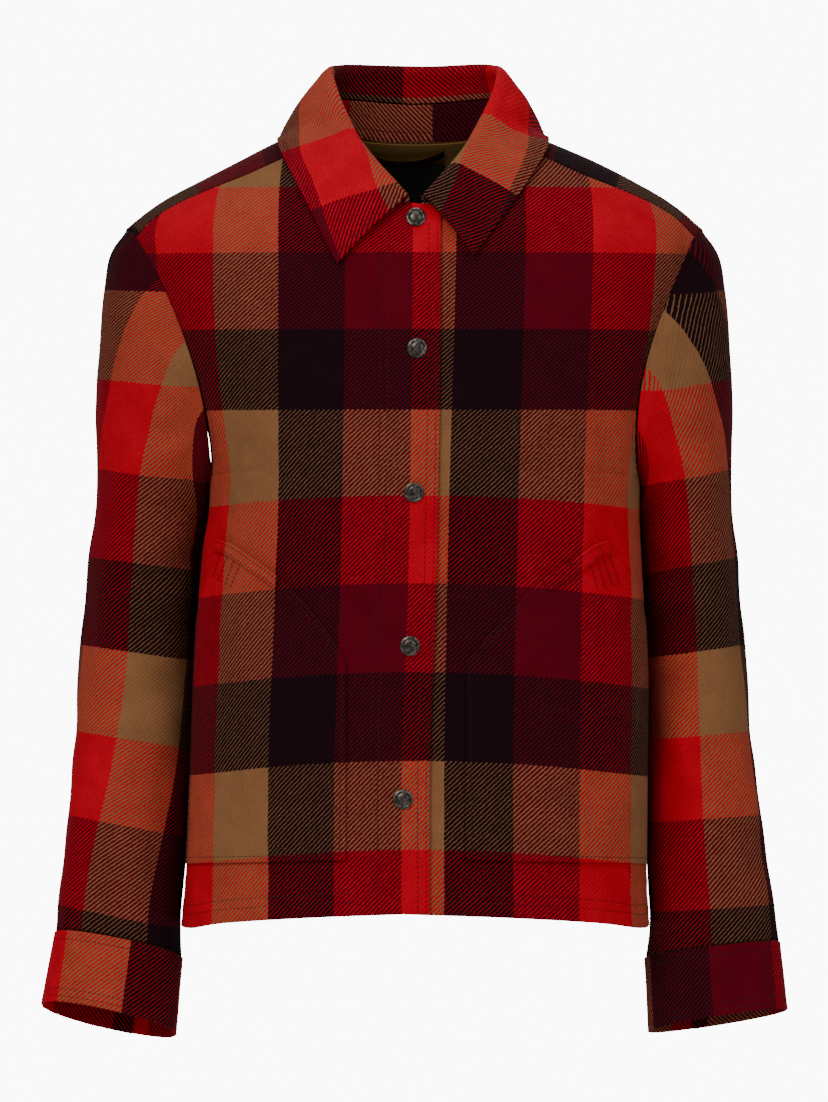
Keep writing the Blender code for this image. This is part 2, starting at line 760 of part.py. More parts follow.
def band_grid(side, lift):
    """Return the rows of the folded band along a pocket's mouth."""
    mouth = track([row[0] for row in POCKET_MOUTH[side]], [row[1] * MM for row in POCKET_MOUTH[side]])
    rows = []
    for across in (1.0, 0.5, 0.0):
        line = []
        for step in range(BAND_COLUMNS + 1):
            share = BAND_START + (1.0 - BAND_START) * step / BAND_COLUMNS
            line.append(pocket_point(side, share, mouth(share) - BAND_WIDTH * across, lift))
        rows.append(line)
    return rows


def back_patch(middle, half_width, top, height, depth_in, columns, rows):
    """Return the rows of a patch that hangs inside the back, foot first."""
    grid = []
    for row in range(rows + 1):
        level = top - height * (1.0 - row / rows)
        line = []
        for column in range(columns + 1):
            x = middle + half_width * (2.0 * column / columns - 1.0)
            line.append(moved_out(Vector((x, depth_at(x, level, BACK), level)), -depth_in))
        grid.append(line)
    return grid


def lining_grid(rows):
    """Return the rows of the lining at the back neck: points of the back, moved in."""
    middle = len(rows[0]) // 2
    first, last = middle - LINING_HALF_COLUMNS, middle + LINING_HALF_COLUMNS
    patch = [row[first:last + 1] for row in rows[-LINING_ROWS:]]
    return [[moved_out(point, -LINING_DEPTH) for point in row] for row in patch]


def loop_grid():
    """Return the rows of the hanger loop, lower edge first."""
    rows = []
    for edge in (-0.5, 0.5):
        line = []
        for step in range(LOOP_STEPS + 1):
            t = 2.0 * step / LOOP_STEPS - 1.0
            x = LOOP_MIDDLE + LOOP_HALF * t
            height = LOOP_HEIGHT - LOOP_SAG * (1.0 - t * t) + edge * LOOP_WIDTH
            stand_off = LOOP_DEPTH + LOOP_BOW * (1.0 - t * t)
            line.append(moved_out(Vector((x, depth_at(x, height, BACK), height)), -stand_off))
        rows.append(line)
    return rows


def material(name):
    """Return one of the jacket's materials."""
    red, green, blue, roughness, metallic = COLOURS[name]
    made = bpy.data.materials.get(name) or bpy.data.materials.new(name)
    made.use_nodes = True
    shader = made.node_tree.nodes["Principled BSDF"]
    shader.inputs["Base Color"].default_value = (red, green, blue, 1.0)
    shader.inputs["Roughness"].default_value = roughness
    shader.inputs["Metallic"].default_value = metallic
    return made


def cloth(name, grid, wall, material_name="wool_check"):
    """Make a cloth piece: a grid moved onto the rows of points, closed where its ends meet."""
    rows, columns = len(grid) - 1, len(grid[0]) - 1
    form = bmesh.new()
    bmesh.ops.create_grid(form, x_segments=columns, y_segments=rows, size=1.0)
    for vertex in form.verts:
        column = round((vertex.co.x + 1.0) / 2.0 * columns)
        row = round((vertex.co.y + 1.0) / 2.0 * rows)
        vertex.co = grid[row][column]
    if (grid[0][0] - grid[0][-1]).length < 0.01 * MM:
        bmesh.ops.remove_doubles(form, verts=form.verts, dist=0.01 * MM)
    mesh = bpy.data.meshes.new(name)
    form.to_mesh(mesh)
    form.free()
    mesh.materials.append(material(material_name))
    mesh.shade_smooth()
    piece = bpy.data.objects.new(name, mesh)
    jacket.objects.link(piece)
    wall_modifier = piece.modifiers.new("wall", "SOLIDIFY")
    wall_modifier.thickness = wall
    wall_modifier.offset = 0.0
    return piece


def snap(index, x, height):
    """Make a snap cap: a turned profile with a rim and a dome, facing off the cloth."""
    profile = (
        # share of the radius, share of the height
        (1.0, 0.0),
        (1.0, 0.34),
        (0.9, 0.58),
        (0.72, 0.66),
        (0.62, 0.86),
        (0.34, 0.98),
    )
    mesh = bpy.data.meshes.new(f"snap_{index}")
    points = [(0.0, 0.0, SNAP_HEIGHT)]
    points += [(SNAP_RADIUS * r, 0.0, SNAP_HEIGHT * h) for r, h in reversed(profile)]
    points.append((0.0, 0.0, 0.0))
    mesh.from_pydata(points, [(i, i + 1) for i in range(len(points) - 1)], [])
    mesh.materials.append(material("snap_metal"))
    cap = bpy.data.objects.new(f"snap_{index}", mesh)
    jacket.objects.link(cap)
    turn = cap.modifiers.new("turn", "SCREW")
    turn.steps = SNAP_SIDES
    turn.render_steps = SNAP_SIDES
    turn.use_merge_vertices = True
    turn.merge_threshold = 0.01 * MM
    surface = Vector((x, depth_at(x, height, FRONT), height))
    away = form_excess(surface)[1]
    cap.location = surface + away * (WALL / 2.0 + SNAP_GAP)
    cap.rotation_euler = away.to_track_quat("Z", "Y").to_euler()
    return cap


for old in list(bpy.data.objects):
    bpy.data.objects.remove(old)
jacket = bpy.data.collections.new("checked_wool_jacket")
bpy.context.scene.collection.children.link(jacket)

cloth("front_right", drawn_back(front_grid(RIGHT), last_column=True), WALL)
left_rows = drawn_back(sink_under_edge(front_grid(LEFT)), last_column=True)
cloth("front_left", left_rows, WALL)
back_rows = drawn_back(back_grid(), first_column=True, last_column=True)
cloth("back", back_rows, WALL)
for side, word in ((RIGHT, "right"), (LEFT, "left")):
    cloth(f"sleeve_{word}", sleeve_grid(side), WALL)
    cloth(f"cuff_{word}", cuff_grid(side), WALL)
    pocket_lift = WALL / 2.0 + POCKET_GAP + POCKET_WALL / 2.0
    cloth(f"pocket_{word}", pocket_grid(side, pocket_lift), POCKET_WALL)
    band_lift = pocket_lift + POCKET_WALL + LAY_GAP
    cloth(f"pocket_band_{word}", band_grid(side, band_lift), POCKET_WALL)
cloth("collar_stand", collar_grid(stand_section), WALL)
cloth("collar_leaf", collar_grid(leaf_section), WALL)
for number, (snap_x, snap_height) in enumerate(SNAP_PLACES, start=1):
    snap(number, snap_x * MM, snap_height * MM)
cloth("back_lining", lining_grid(back_rows), THIN_WALL, "lining_cloth")
label_rows = back_patch(LABEL_MIDDLE, LABEL_HALF_WIDTH, LABEL_TOP, LABEL_HEIGHT, LABEL_DEPTH, 6, 4)
cloth("neck_label", label_rows, THIN_WALL, "label_cloth")
cloth("hanger_loop", loop_grid(), THIN_WALL)
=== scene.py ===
"""Dresses a checked wool jacket with a snap front: cloth, sewing, snaps, light and camera.

The cloth pieces follow the same named sizes as the jacket's solids. Lengths are metres, heights run up
from the mount between the shoulders, the front faces -Y and the wearer's right is -X.
"""
import logging
import math
from collections.abc import Callable, Sequence
from dataclasses import dataclass, field
from enum import Enum, IntEnum

import bpy
import numpy as np
from bpy.types import Material, Node, NodeSocket, NodeTree, Object
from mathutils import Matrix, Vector
from mathutils.bvhtree import BVHTree


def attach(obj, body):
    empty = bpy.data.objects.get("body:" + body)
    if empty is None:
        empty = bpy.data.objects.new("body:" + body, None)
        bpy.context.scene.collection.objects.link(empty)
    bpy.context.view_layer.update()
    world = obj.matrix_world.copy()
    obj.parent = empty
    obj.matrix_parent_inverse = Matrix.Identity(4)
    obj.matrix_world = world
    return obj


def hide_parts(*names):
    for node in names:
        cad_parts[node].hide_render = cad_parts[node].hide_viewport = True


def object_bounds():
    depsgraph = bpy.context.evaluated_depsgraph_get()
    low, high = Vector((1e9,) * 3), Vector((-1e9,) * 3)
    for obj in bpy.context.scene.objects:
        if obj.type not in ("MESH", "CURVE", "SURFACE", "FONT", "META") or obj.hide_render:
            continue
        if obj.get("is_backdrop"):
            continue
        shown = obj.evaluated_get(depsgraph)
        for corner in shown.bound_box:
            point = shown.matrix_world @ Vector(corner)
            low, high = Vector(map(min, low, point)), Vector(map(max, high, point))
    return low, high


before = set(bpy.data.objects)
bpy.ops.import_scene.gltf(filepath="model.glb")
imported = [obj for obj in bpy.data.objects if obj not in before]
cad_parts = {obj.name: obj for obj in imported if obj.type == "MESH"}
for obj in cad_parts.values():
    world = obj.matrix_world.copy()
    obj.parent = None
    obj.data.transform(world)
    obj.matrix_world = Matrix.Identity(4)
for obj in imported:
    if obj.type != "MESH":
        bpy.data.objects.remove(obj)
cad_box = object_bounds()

log = logging.getLogger("jacket")
Grid = list[list[Vector]]
Line = tuple[np.ndarray, np.ndarray]
MM = 0.001


class Side(IntEnum):
    """A side of the jacket, as its sign along X: the wearer's right is first."""

    RIGHT = -1
    LEFT = 1

    @property
    def word(self) -> str:
        """Return the side's name as it stands in the names of the pieces."""
        return self.name.lower()


class Facing(IntEnum):
    """The front or the back of the form, as its sign along Y."""

    FRONT = -1
    BACK = 1


class Edge(Enum):
    """An edge of a cloth piece's grid."""

    FIRST_COLUMN = "first column"
    LAST_COLUMN = "last column"
    FOOT = "foot"
    TOP = "top"


# Cloth
WALL = 2.0 * MM
THIN_WALL = 1.0 * MM
POCKET_WALL = 1.6 * MM
SEAM_GAP = 0.5 * MM
LAY_GAP = 0.7 * MM
POCKET_GAP = 0.9 * MM
SEAM_DRAW = 0.2 * MM
SHOULDER_DRAW = 0.45 * MM
RIGHT = Side.RIGHT
LEFT = Side.LEFT
FRONT = Facing.FRONT
BACK = Facing.BACK

# Body form: level sections, each a rounded oblong
BODY_SECTIONS = (
    # height, right half width, left half width, front depth, back depth, squareness
    (-630, 187, 187, 118, 114, 2.5),
    (-568, 181.6, 184.2, 115, 110, 2.5),
    (-497, 178.4, 184.8, 113, 107, 2.5),
    (-428, 176, 185.4, 112.5, 104, 2.5),
    (-356, 172, 181.8, 114, 104, 2.5),
    (-313, 168, 179.5, 116.5, 107, 2.5),
    (-285, 163.5, 178.4, 118, 109, 2.5),
    (-262, 163, 179, 119, 110.5, 2.5),
    (-220, 173, 187, 118, 112.5, 2.5),
    (-156, 201, 206, 114.5, 113, 2.45),
    (-103, 224, 225, 109, 108.5, 2.35),
    (-68.8, 232, 231, 103.5, 103.5, 2.25),
    (-46.4, 208, 208, 96, 97, 2.15),
    (-21.6, 163, 166, 84, 87, 2.1),
    (-9.6, 140, 142, 76, 80, 2.05),
    (6.4, 109, 105, 61, 66.5, 2),
    (18, 79, 78, 42, 50, 2),
    (30, 40, 40, 22, 28, 2),
)
SHOULDER_HEIGHT = -68.8 * MM
SHOULDER_HALF = 231.5 * MM
UNDERARM_HEIGHT = -262.0 * MM

# Cut edges, as distances out from the middle of the jacket
HEM_FRONT = (
    # share from the closing edge to the side seam, height
    (0, -608),
    (0.35, -611.5),
    (0.65, -616.5),
    (0.85, -621.5),
    (1, -619),
)
HEM_BACK = (
    # share from the middle of the back to the side seam, height
    (0, -607),
    (0.6, -611),
    (1, -619),
)
CLOSING_EDGE = (
    # height, distance past the middle
    (-610, 11.6),
    (-520, 11.6),
    (-318, 17.6),
    (-80, 20.6),
    (-40, 20.6),
)
UNDERLAP = 30.0 * MM
LAP_DROP = WALL + 1.3 * MM
LAP_FADE_START = 16.0 * MM
LAP_FADE = 13.0 * MM
FRONT_ARMHOLE = (
    # height, right distance out, left distance out
    (-262, 163, 179),
    (-258, 161.8, 177.8),
    (-248, 160.3, 175.2),
    (-222, 163.2, 174.6),
    (-190, 170, 178.5),
    (-156, 180.8, 187),
    (-103, 203.2, 207.5),
    (-70.4, 222.4, 222),
)
BACK_ARMHOLE = (
    # height, right distance out, left distance out
    (-262, 163, 179),
    (-257, 162.6, 178.4),
    (-246, 162.4, 177.2),
    (-218, 167.5, 180),
    (-156, 187, 192),
    (-103, 211.5, 213),
    (-68.8, 231.5, 231),
)
SHOULDER_SEAM = (
    # distance out, height
    (78, 4),
    (107.2, -9.6),
    (138, -23.5),
    (167, -34.4),
    (203, -51.2),
    (222.2, -70.4),
)
FRONT_NECK = (
    # distance out, height
    (-30, -47),
    (4, -44),
    (30, -39),
    (55, -25),
    (71, -9),
    (78, 4),
)
BACK_NECK = (
    # share of the neck edge, distance out, depth, height
    (0, 0, 65.5, 8),
    (0.25, 29, 62, 9),
    (0.5, 56, 47, 13),
    (0.76, 72.5, 18, 18),
    (1, 76.5, -10, 18.2),
)
BODY_ROWS_BELOW = 13
BODY_ROWS_ABOVE = 11
SHOULDER_COLUMNS = 8
FRONT_NECK_COLUMNS = 9
FRONT_COLUMNS = FRONT_NECK_COLUMNS + SHOULDER_COLUMNS
BACK_NECK_COLUMNS = 6
BACK_HALF_COLUMNS = BACK_NECK_COLUMNS + 1 + SHOULDER_COLUMNS
NECK_CORNER_RIDGE = 84.0 * MM
EVEN_ZONE = 0.5

# Sleeves: rings from below the underarm to the cuff seam
SLEEVE_RINGS = {
    RIGHT: (
        # outer reach, outer height, inner reach, inner height, middle depth, half depth, tilt
        (256, -285, 166.4, -296, 31, 61, 0),
        (260.8, -326.4, 171.6, -338, 35, 57, 0),
        (267.2, -398.4, 175.8, -411, 36, 51, -1),
        (272, -464, 178.8, -478, 32, 47, -2),
        (277.6, -532, 182.4, -548, 26, 43, -4),
        (284, -604, 188.8, -623, 18, 39, -6),
        (286.2, -625.6, 188.4, -645.5, 14, 37.5, -7),
    ),
    LEFT: (
        (254, -285, 180.2, -296, 34, 61, 0),
        (257.6, -326.4, 181.9, -338, 36, 57, 0),
        (263.2, -394.4, 185.5, -407, 36, 51, -1),
        (268.8, -464.8, 186.1, -478, 32, 47, -2),
        (277.5, -536, 186.1, -550, 26, 43, -3),
        (285.6, -604, 189.1, -622, 18, 39, -4),
        (290.2, -632.8, 186.4, -645.5, 14, 37.5, -4),
    ),
}
SLEEVE_SQUARENESS = 2.2
SLEEVE_AROUND = 26
SLEEVE_CAP_ROWS = 7
SLEEVE_TUBE_ROWS = 11
CAP_REACH = 99.0 * MM
UNDERARM_STEP = 2.9 * MM

# Cuffs: a top and a bottom ring, lapped at the back
CUFF_RINGS = {
    RIGHT: (
        (288, -626.5, 187, -646.5, 14, 38.8, -7),
        (298.2, -684, 192, -707.5, 6, 36.5, -9),
    ),
    LEFT: (
        (291.8, -633.7, 184.8, -646.5, 14, 38.8, -4),
        (297.2, -688, 187.6, -705.5, 6, 36.5, -5),
    ),
}
CUFF_AROUND = 30
CUFF_ROWS = 3
CUFF_LAP_START = 252.0
CUFF_LAP = 38.0
CUFF_LIFT_START = 300.0
CUFF_LIFT_RUN = 58.0

# Collar: a row for each station from the middle of the back to a front end
COLLAR_STATIONS = (0.0, 0.3, 0.5, 0.66, 0.82, 1.0)
COLLAR_LINES = {
    "neck": (
        # distance out, depth, height
        (0, 66.5, 9.4),
        (50, 52, 14),
        (74, 13, 20.5),
        (75, -30, 12.5),
        (54.5, -70, -20.5),
        (12, -95.5, -41.5),
    ),
    "seam": (
        (0, 69.5, 38),
        (49.5, 55, 41),
        (71.5, 17, 42),
        (70, -12, 33),
        (50.5, -57, -5),
        (6, -99, -46),
    ),
    "roll": (
        (0, 73, 69),
        (47.5, 59, 69.5),
        (66, 23, 65.5),
        (59.5, -16, 41.5),
        (40, -58.5, 1.5),
        (5, -101.5, -38),
    ),
}
COLLAR_EDGE = {
    RIGHT: (
        # distance out, depth, height
        (0, 103, 10),
        (76, 84, 10),
        (107, 24, 14),
        (103, -24, -6),
        (87, -68, -42),
        (61.6, -110, -92.8),
    ),
    LEFT: (
        (0, 103, 10),
        (74, 84, 10),
        (103, 24, 14),
        (99, -24, -8),
        (80, -70, -43),
        (46, -111, -86.4),
    ),
}
COLLAR_HALF_COLUMNS = 17
COLLAR_FALL_ROWS = 5
ROLL_RADIUS = 2.4 * MM
LEAF_SEAM_GAP = 1.2 * MM
FALL_CROWN = 3.0 * MM
FALL_CLEARANCE = 3.2 * MM
FALL_REST_HEIGHT = 22.0 * MM
STAND_ROWS = 2
STAND_END = 0.9
NECK_MIDDLE_DEPTH = -15.0 * MM

# Patch pockets: inner edge, mouth and foot in the front view
POCKET_FOOT = (
    # share from the inner edge to the side, height
    (0, -566),
    (0.5, -568.5),
    (1, -570.5),
)
POCKET_INNER = {RIGHT: 54.5 * MM, LEFT: 40.0 * MM}
POCKET_MOUTH = {
    RIGHT: (
        # share from the inner edge to the side, height
        (0, -408),
        (0.12, -372),
        (0.3, -346),
        (0.6, -324.5),
        (0.86, -314),
        (1, -312),
    ),
    LEFT: (
        (0, -408),
        (0.12, -375),
        (0.3, -347),
        (0.6, -327),
        (0.86, -315.5),
        (1, -313),
    ),
}
POCKET_TOP_REACH = {RIGHT: 155.0 * MM, LEFT: 151.0 * MM}
POCKET_COLUMNS = 12
POCKET_ROWS = 12
POCKET_SIDE_ANGLE = 81.0
POCKET_NARROW_HEIGHT = -372.0 * MM
POCKET_NARROW_RUN = 58.0 * MM
BAND_WIDTH = 9.0 * MM
BAND_COLUMNS = 10
BAND_START = 0.34

# Snap caps
SNAP_PLACES = ((0.8, -56.0), (1.6, -160.0), (-0.8, -274.4), (-4.0, -396.0), (-9.6, -517.6))
SNAP_RADIUS = 7.8 * MM

# Neck furniture
LABEL_HALF_WIDTH = 28.0 * MM
LABEL_MIDDLE = -4.0 * MM
LABEL_TOP = -6.0 * MM
LABEL_HEIGHT = 44.0 * MM
LINING_DEPTH = 2.6 * MM
LINING_ROWS = 7
LINING_HALF_COLUMNS = 6
LABEL_DEPTH = 4.9 * MM
LOOP_HALF = 34.0 * MM
LOOP_MIDDLE = -10.0 * MM
LOOP_WIDTH = 5.0 * MM
LOOP_SAG = 7.0 * MM
LOOP_HEIGHT = 2.0 * MM
LOOP_DEPTH = 5.4 * MM
LOOP_BOW = 3.0 * MM
LOOP_STEPS = 10

# Lengths along level lines, kept for each height, side and facing
level_tables: dict[tuple[float, int, int], tuple[np.ndarray, np.ndarray]] = {}


def track(stations: Sequence[float], values: Sequence[float]) -> Callable[[float], float]:
    """Return a function that runs smoothly through the values without overshoot.

    Args:
        stations: places of the values, in rising order
        values: a value for each station

    Returns:
        the smooth function
    """
    count = len(stations)
    rises = [(values[i + 1] - values[i]) / (stations[i + 1] - stations[i]) for i in range(count - 1)]
    slopes = [rises[0]]
    for before, after in zip(rises, rises[1:]):
        same_way = before * after > 0.0
        slopes.append(2.0 * before * after / (before + after) if same_way else 0.0)
    slopes.append(rises[-1])

    def value(at: float) -> float:
        """Return the value at a place."""
        index = 0
        while index < count - 2 and at > stations[index + 1]:
            index += 1
        span = stations[index + 1] - stations[index]
        t = min(max((at - stations[index]) / span, 0.0), 1.0)
        start = values[index] * (1 + 2 * t) * (1 - t) ** 2 + values[index + 1] * t * t * (3 - 2 * t)
        bend = slopes[index] * t * (1 - t) ** 2 - slopes[index + 1] * t * t * (1 - t)
        return start + bend * span

    return value


def column_track(
    table: Sequence[Sequence[float]], column: int, key_scale: float = MM, scale: float = MM
) -> Callable[[float], float]:
    """Return a smooth function of one column of a table."""
    stations = [row[0] * key_scale for row in table]
    return track(stations, [row[column] * scale for row in table])


HALF_WIDTH = {RIGHT: column_track(BODY_SECTIONS, 1), LEFT: column_track(BODY_SECTIONS, 2)}
DEPTH = {FRONT: column_track(BODY_SECTIONS, 3), BACK: column_track(BODY_SECTIONS, 4)}
SQUARENESS = column_track(BODY_SECTIONS, 5, scale=1.0)
EDGE_PAST = column_track(CLOSING_EDGE, 1)
FRONT_ARM = {RIGHT: column_track(FRONT_ARMHOLE, 1), LEFT: column_track(FRONT_ARMHOLE, 2)}
BACK_ARM = {RIGHT: column_track(BACK_ARMHOLE, 1), LEFT: column_track(BACK_ARMHOLE, 2)}


def depth_at(x: float, height: float, facing: int) -> float:
    """Return the y of the body form at a place in the front view.

    Args:
        x: place across
        height: place up
        facing: front or back

    Returns:
        the y of the form
    """
    side = LEFT if x > 0 else RIGHT
    power = SQUARENESS(height)
    inside = 1.0 - (abs(x) / HALF_WIDTH[side](height)) ** power
    return facing * DEPTH[facing](height) * max(inside, 0.0) ** (1.0 / power)


def form_excess(point: Vector) -> tuple[float, Vector]:
    """Return how far outside the body form a point lies, roughly in metres.

    Args:
        point: any point

    Returns:
        the distance outside and the outward direction
    """
    def scaled(p: Vector) -> float:
        """Return how far outside a point lies, as a share of the form's size."""
        side = LEFT if p.x > 0 else RIGHT
        facing = BACK if p.y > 0 else FRONT
        power = SQUARENESS(p.z)
        total = (abs(p.x) / HALF_WIDTH[side](p.z)) ** power + (abs(p.y) / DEPTH[facing](p.z)) ** power
        return total ** (1.0 / power) - 1.0

    step = 0.5 * MM
    here = scaled(point)
    slope = Vector([
        (scaled(point + axis * step) - scaled(point - axis * step)) / (2.0 * step)
        for axis in (Vector((1, 0, 0)), Vector((0, 1, 0)), Vector((0, 0, 1)))
    ])
    return here / slope.length, slope.normalized()


def moved_out(point: Vector, distance: float) -> Vector:
    """Return a point of the form moved along the form's outward direction."""
    return point + form_excess(point)[1] * distance


def ridge_height(reach: float, side: int) -> float:
    """Return the height of the shoulder ridge at a distance out.

    Args:
        reach: distance out
        side: right or left

    Returns:
        the height of the ridge
    """
    low, high = SHOULDER_HEIGHT, 30.0 * MM
    for _ in range(40):
        middle = 0.5 * (low + high)
        if HALF_WIDTH[side](middle) > reach:
            low = middle
        else:
            high = middle
    return low


def resample(points: list[Vector], count: int) -> list[Vector]:
    """Return count + 1 points spaced evenly along a line of points.

    Args:
        points: a line of points
        count: how many equal steps

    Returns:
        the evenly spaced points
    """
    lengths = [0.0]
    for before, after in zip(points, points[1:]):
        lengths.append(lengths[-1] + (after - before).length)
    spaced = []
    index = 0
    for step in range(count + 1):
        goal = lengths[-1] * step / count
        while index < len(points) - 2 and lengths[index + 1] < goal:
            index += 1
        span = lengths[index + 1] - lengths[index]
        share = (goal - lengths[index]) / span if span > 0 else 0.0
        spaced.append(points[index].lerp(points[index + 1], min(max(share, 0.0), 1.0)))
    return spaced


def level_line(height: float, side: int, facing: int, start: float, count: int) -> list[Vector]:
    """Return a level line of the form from a distance out to the side seam.

    Args:
        height: level of the line
        side: right or left
        facing: front or back
        start: distance out of the first point
        count: how many equal steps

    Returns:
        the points
    """
    power = SQUARENESS(height)
    half = HALF_WIDTH[side](height)
    first = math.copysign(math.asin(min((abs(start) / half) ** (power / 2.0), 1.0)), start)
    points = []
    for step in range(121):
        angle = first + (math.pi / 2.0 - first) * step / 120
        reach = math.copysign(half * abs(math.sin(angle)) ** (2.0 / power), math.sin(angle))
        points.append(Vector((side * reach, depth_at(side * reach, height, facing), height)))
    return resample(points, count)


def level_table(height: float, side: int, facing: int) -> tuple[np.ndarray, np.ndarray]:
    """Return the distances out along a level line of the form, and the lengths to them.

    Args:
        height: level of the line
        side: right or left
        facing: front or back

    Returns:
        distances out and lengths
    """
    key = (round(height, 7), side, facing)
    if key not in level_tables:
        half, power = HALF_WIDTH[side](height), SQUARENESS(height)
        angles = np.linspace(0.0, math.pi / 2.0, 91)
        reach = half * np.sin(angles) ** (2.0 / power)
        depth = DEPTH[facing](height) * np.cos(angles).clip(0.0) ** (2.0 / power)
        steps = np.hypot(np.diff(reach), np.diff(depth))
        level_tables[key] = reach, np.concatenate(([0.0], np.cumsum(steps)))
    return level_tables[key]


def length_out(reach: float, height: float, side: int, facing: int) -> float:
    """Return the length along a level line from the middle to a distance out."""
    reaches, lengths = level_table(height, side, facing)
    return math.copysign(float(np.interp(abs(reach), reaches, lengths)), reach)


def reach_at(length: float, height: float, side: int, facing: int) -> float:
    """Return the distance out at a length along a level line."""
    reaches, lengths = level_table(height, side, facing)
    return math.copysign(float(np.interp(abs(length), lengths, reaches)), length)


def shoulder_points() -> list[Vector]:
    """Return the shoulder seam's points on the front of the form, for the right side."""
    seam = [Vector((x * MM, depth_at(x * MM, z * MM, FRONT), z * MM)) for x, z in SHOULDER_SEAM]
    return resample(seam, SHOULDER_COLUMNS)


def guided_point(
    side: int, facing: int, height: float, rise: float, share: float, by_reach: float,
    inner: float, outer: float
) -> Vector:
    """Return a column's point: spaced evenly on level lines low down, by distance out higher up.

    Args:
        side: right or left
        facing: front or back
        height: level of the point
        rise: share of the way up the column
        share: share across by length
        by_reach: share across by distance out
        inner: distance out of the first column
        outer: distance out of the last column

    Returns:
        the point
    """
    start = length_out(inner, height, side, facing)
    end = length_out(outer, height, side, facing)
    even = start + (end - start) * share
    straight = length_out(inner + (outer - inner) * by_reach, height, side, facing)
    t = min(rise / EVEN_ZONE, 1.0)
    x = side * reach_at(even + (straight - even) * t * t * (3 - 2 * t), height, side, facing)
    return Vector((x, depth_at(x, height, facing), height))


def inner_edge(side: int, height: float) -> float:
    """Return the distance out of a front's closing edge, below zero past the middle."""
    return -EDGE_PAST(height) if side == RIGHT else -UNDERLAP


def front_top(side: int) -> list[Vector]:
    """Return the top edge of a front as distances out and heights, column by column."""
    neck = [Vector((max(x * MM, inner_edge(side, -0.045)), z * MM, 0.0)) for x, z in FRONT_NECK]
    seam = [Vector((point.x, point.z, 0.0)) for point in shoulder_points()]
    return resample(neck, FRONT_NECK_COLUMNS) + seam[1:]


def front_grid(side: int) -> Grid:
    """Return the rows of points of one front, hem first, closing edge first in each.

    Args:
        side: right or left

    Returns:
        the rows
    """
    hem = column_track(HEM_FRONT, 1, key_scale=1.0)
    rows = []
    for step in range(BODY_ROWS_BELOW + 1):
        share = step / BODY_ROWS_BELOW
        row = []
        for column in range(FRONT_COLUMNS + 1):
            bottom = hem(column / FRONT_COLUMNS)
            height = bottom + (UNDERARM_HEIGHT - bottom) * share
            line = level_line(height, side, FRONT, inner_edge(side, height), FRONT_COLUMNS)
            row.append(line[column])
        rows.append(row)
    base = rows[-1]
    columns = []
    for column, top in enumerate(front_top(side)):
        base_inner, top_inner = inner_edge(side, UNDERARM_HEIGHT), inner_edge(side, top.y)
        first = (side * base[column].x - base_inner) / (FRONT_ARM[side](UNDERARM_HEIGHT) - base_inner)
        last = (top.x - top_inner) / (FRONT_ARM[side](top.y) - top_inner)
        line = []
        for step in range(101):
            rise = step / 100
            height = UNDERARM_HEIGHT + (top.y - UNDERARM_HEIGHT) * rise
            inner, outer = inner_edge(side, height), FRONT_ARM[side](height)
            by_reach = first + (last - first) * rise
            share = column / FRONT_COLUMNS
            line.append(guided_point(side, FRONT, height, rise, share, by_reach, inner, outer))
        columns.append(resample(line, BODY_ROWS_ABOVE))
    for step in range(1, BODY_ROWS_ABOVE + 1):
        rows.append([column[step] for column in columns])
    return rows


def sink_under_edge(rows: Grid) -> Grid:
    """Return the left front's rows with the part under the closing edge moved in.

    Args:
        rows: rows of the left front

    Returns:
        the moved rows
    """
    sunk = []
    for row in rows:
        line = []
        for point in row:
            past = (EDGE_PAST(point.z) + LAP_FADE_START - point.x) / LAP_FADE
            share = min(max(past, 0.0), 1.0)
            line.append(moved_out(point, -LAP_DROP * share * share * (3 - 2 * share)))
        sunk.append(line)
    return sunk


def back_top() -> list[tuple[Vector, float]]:
    """Return the top edge of half the back, with the reach at the ridge of each column."""
    reach, depth, height = (column_track(BACK_NECK, i, key_scale=1.0) for i in (1, 2, 3))
    neck = [Vector((reach(s / 60), depth(s / 60), height(s / 60))) for s in range(61)]
    ends = [(point, point.x) for point in resample(neck, BACK_NECK_COLUMNS)]
    seam = shoulder_points()
    for index, point in enumerate(seam):
        along = index / (len(seam) - 1)
        ridge = NECK_CORNER_RIDGE + (SHOULDER_HALF - NECK_CORNER_RIDGE) * along
        ends.append((point, ridge))
    return ends


def back_column(side: int, base: Vector, share: float, top: Vector, ridge_reach: float) -> list[Vector]:
    """Return one column of the back, from the underarm's height to the top edge.

    Args:
        side: right or left
        base: point at the height of the underarm
        share: share from the middle to the side seam
        top: end of the column
        ridge_reach: distance out where it crosses the ridge

    Returns:
        the points
    """
    over_ridge = top.y < 0.0
    limit = ridge_height(ridge_reach, side) if over_ridge else top.z
    first = abs(base.x) / BACK_ARM[side](UNDERARM_HEIGHT)
    last = ridge_reach / BACK_ARM[side](limit)
    line = []
    for step in range(101):
        rise = 1.0 - (1.0 - step / 100) ** 2
        height = UNDERARM_HEIGHT + (limit - UNDERARM_HEIGHT) * rise
        by_reach = first + (last - first) * rise
        outer = BACK_ARM[side](height)
        line.append(guided_point(side, BACK, height, rise, share, by_reach, 0.0, outer))
    if over_ridge:
        for step in range(1, 41):
            along = step / 40
            reach = ridge_reach + (top.x - ridge_reach) * along
            drop = (ridge_height(top.x, side) - top.z) * along * along
            height = ridge_height(reach, side) - drop
            line.append(Vector((side * reach, depth_at(side * reach, height, FRONT), height)))
    return resample(line, BODY_ROWS_ABOVE)


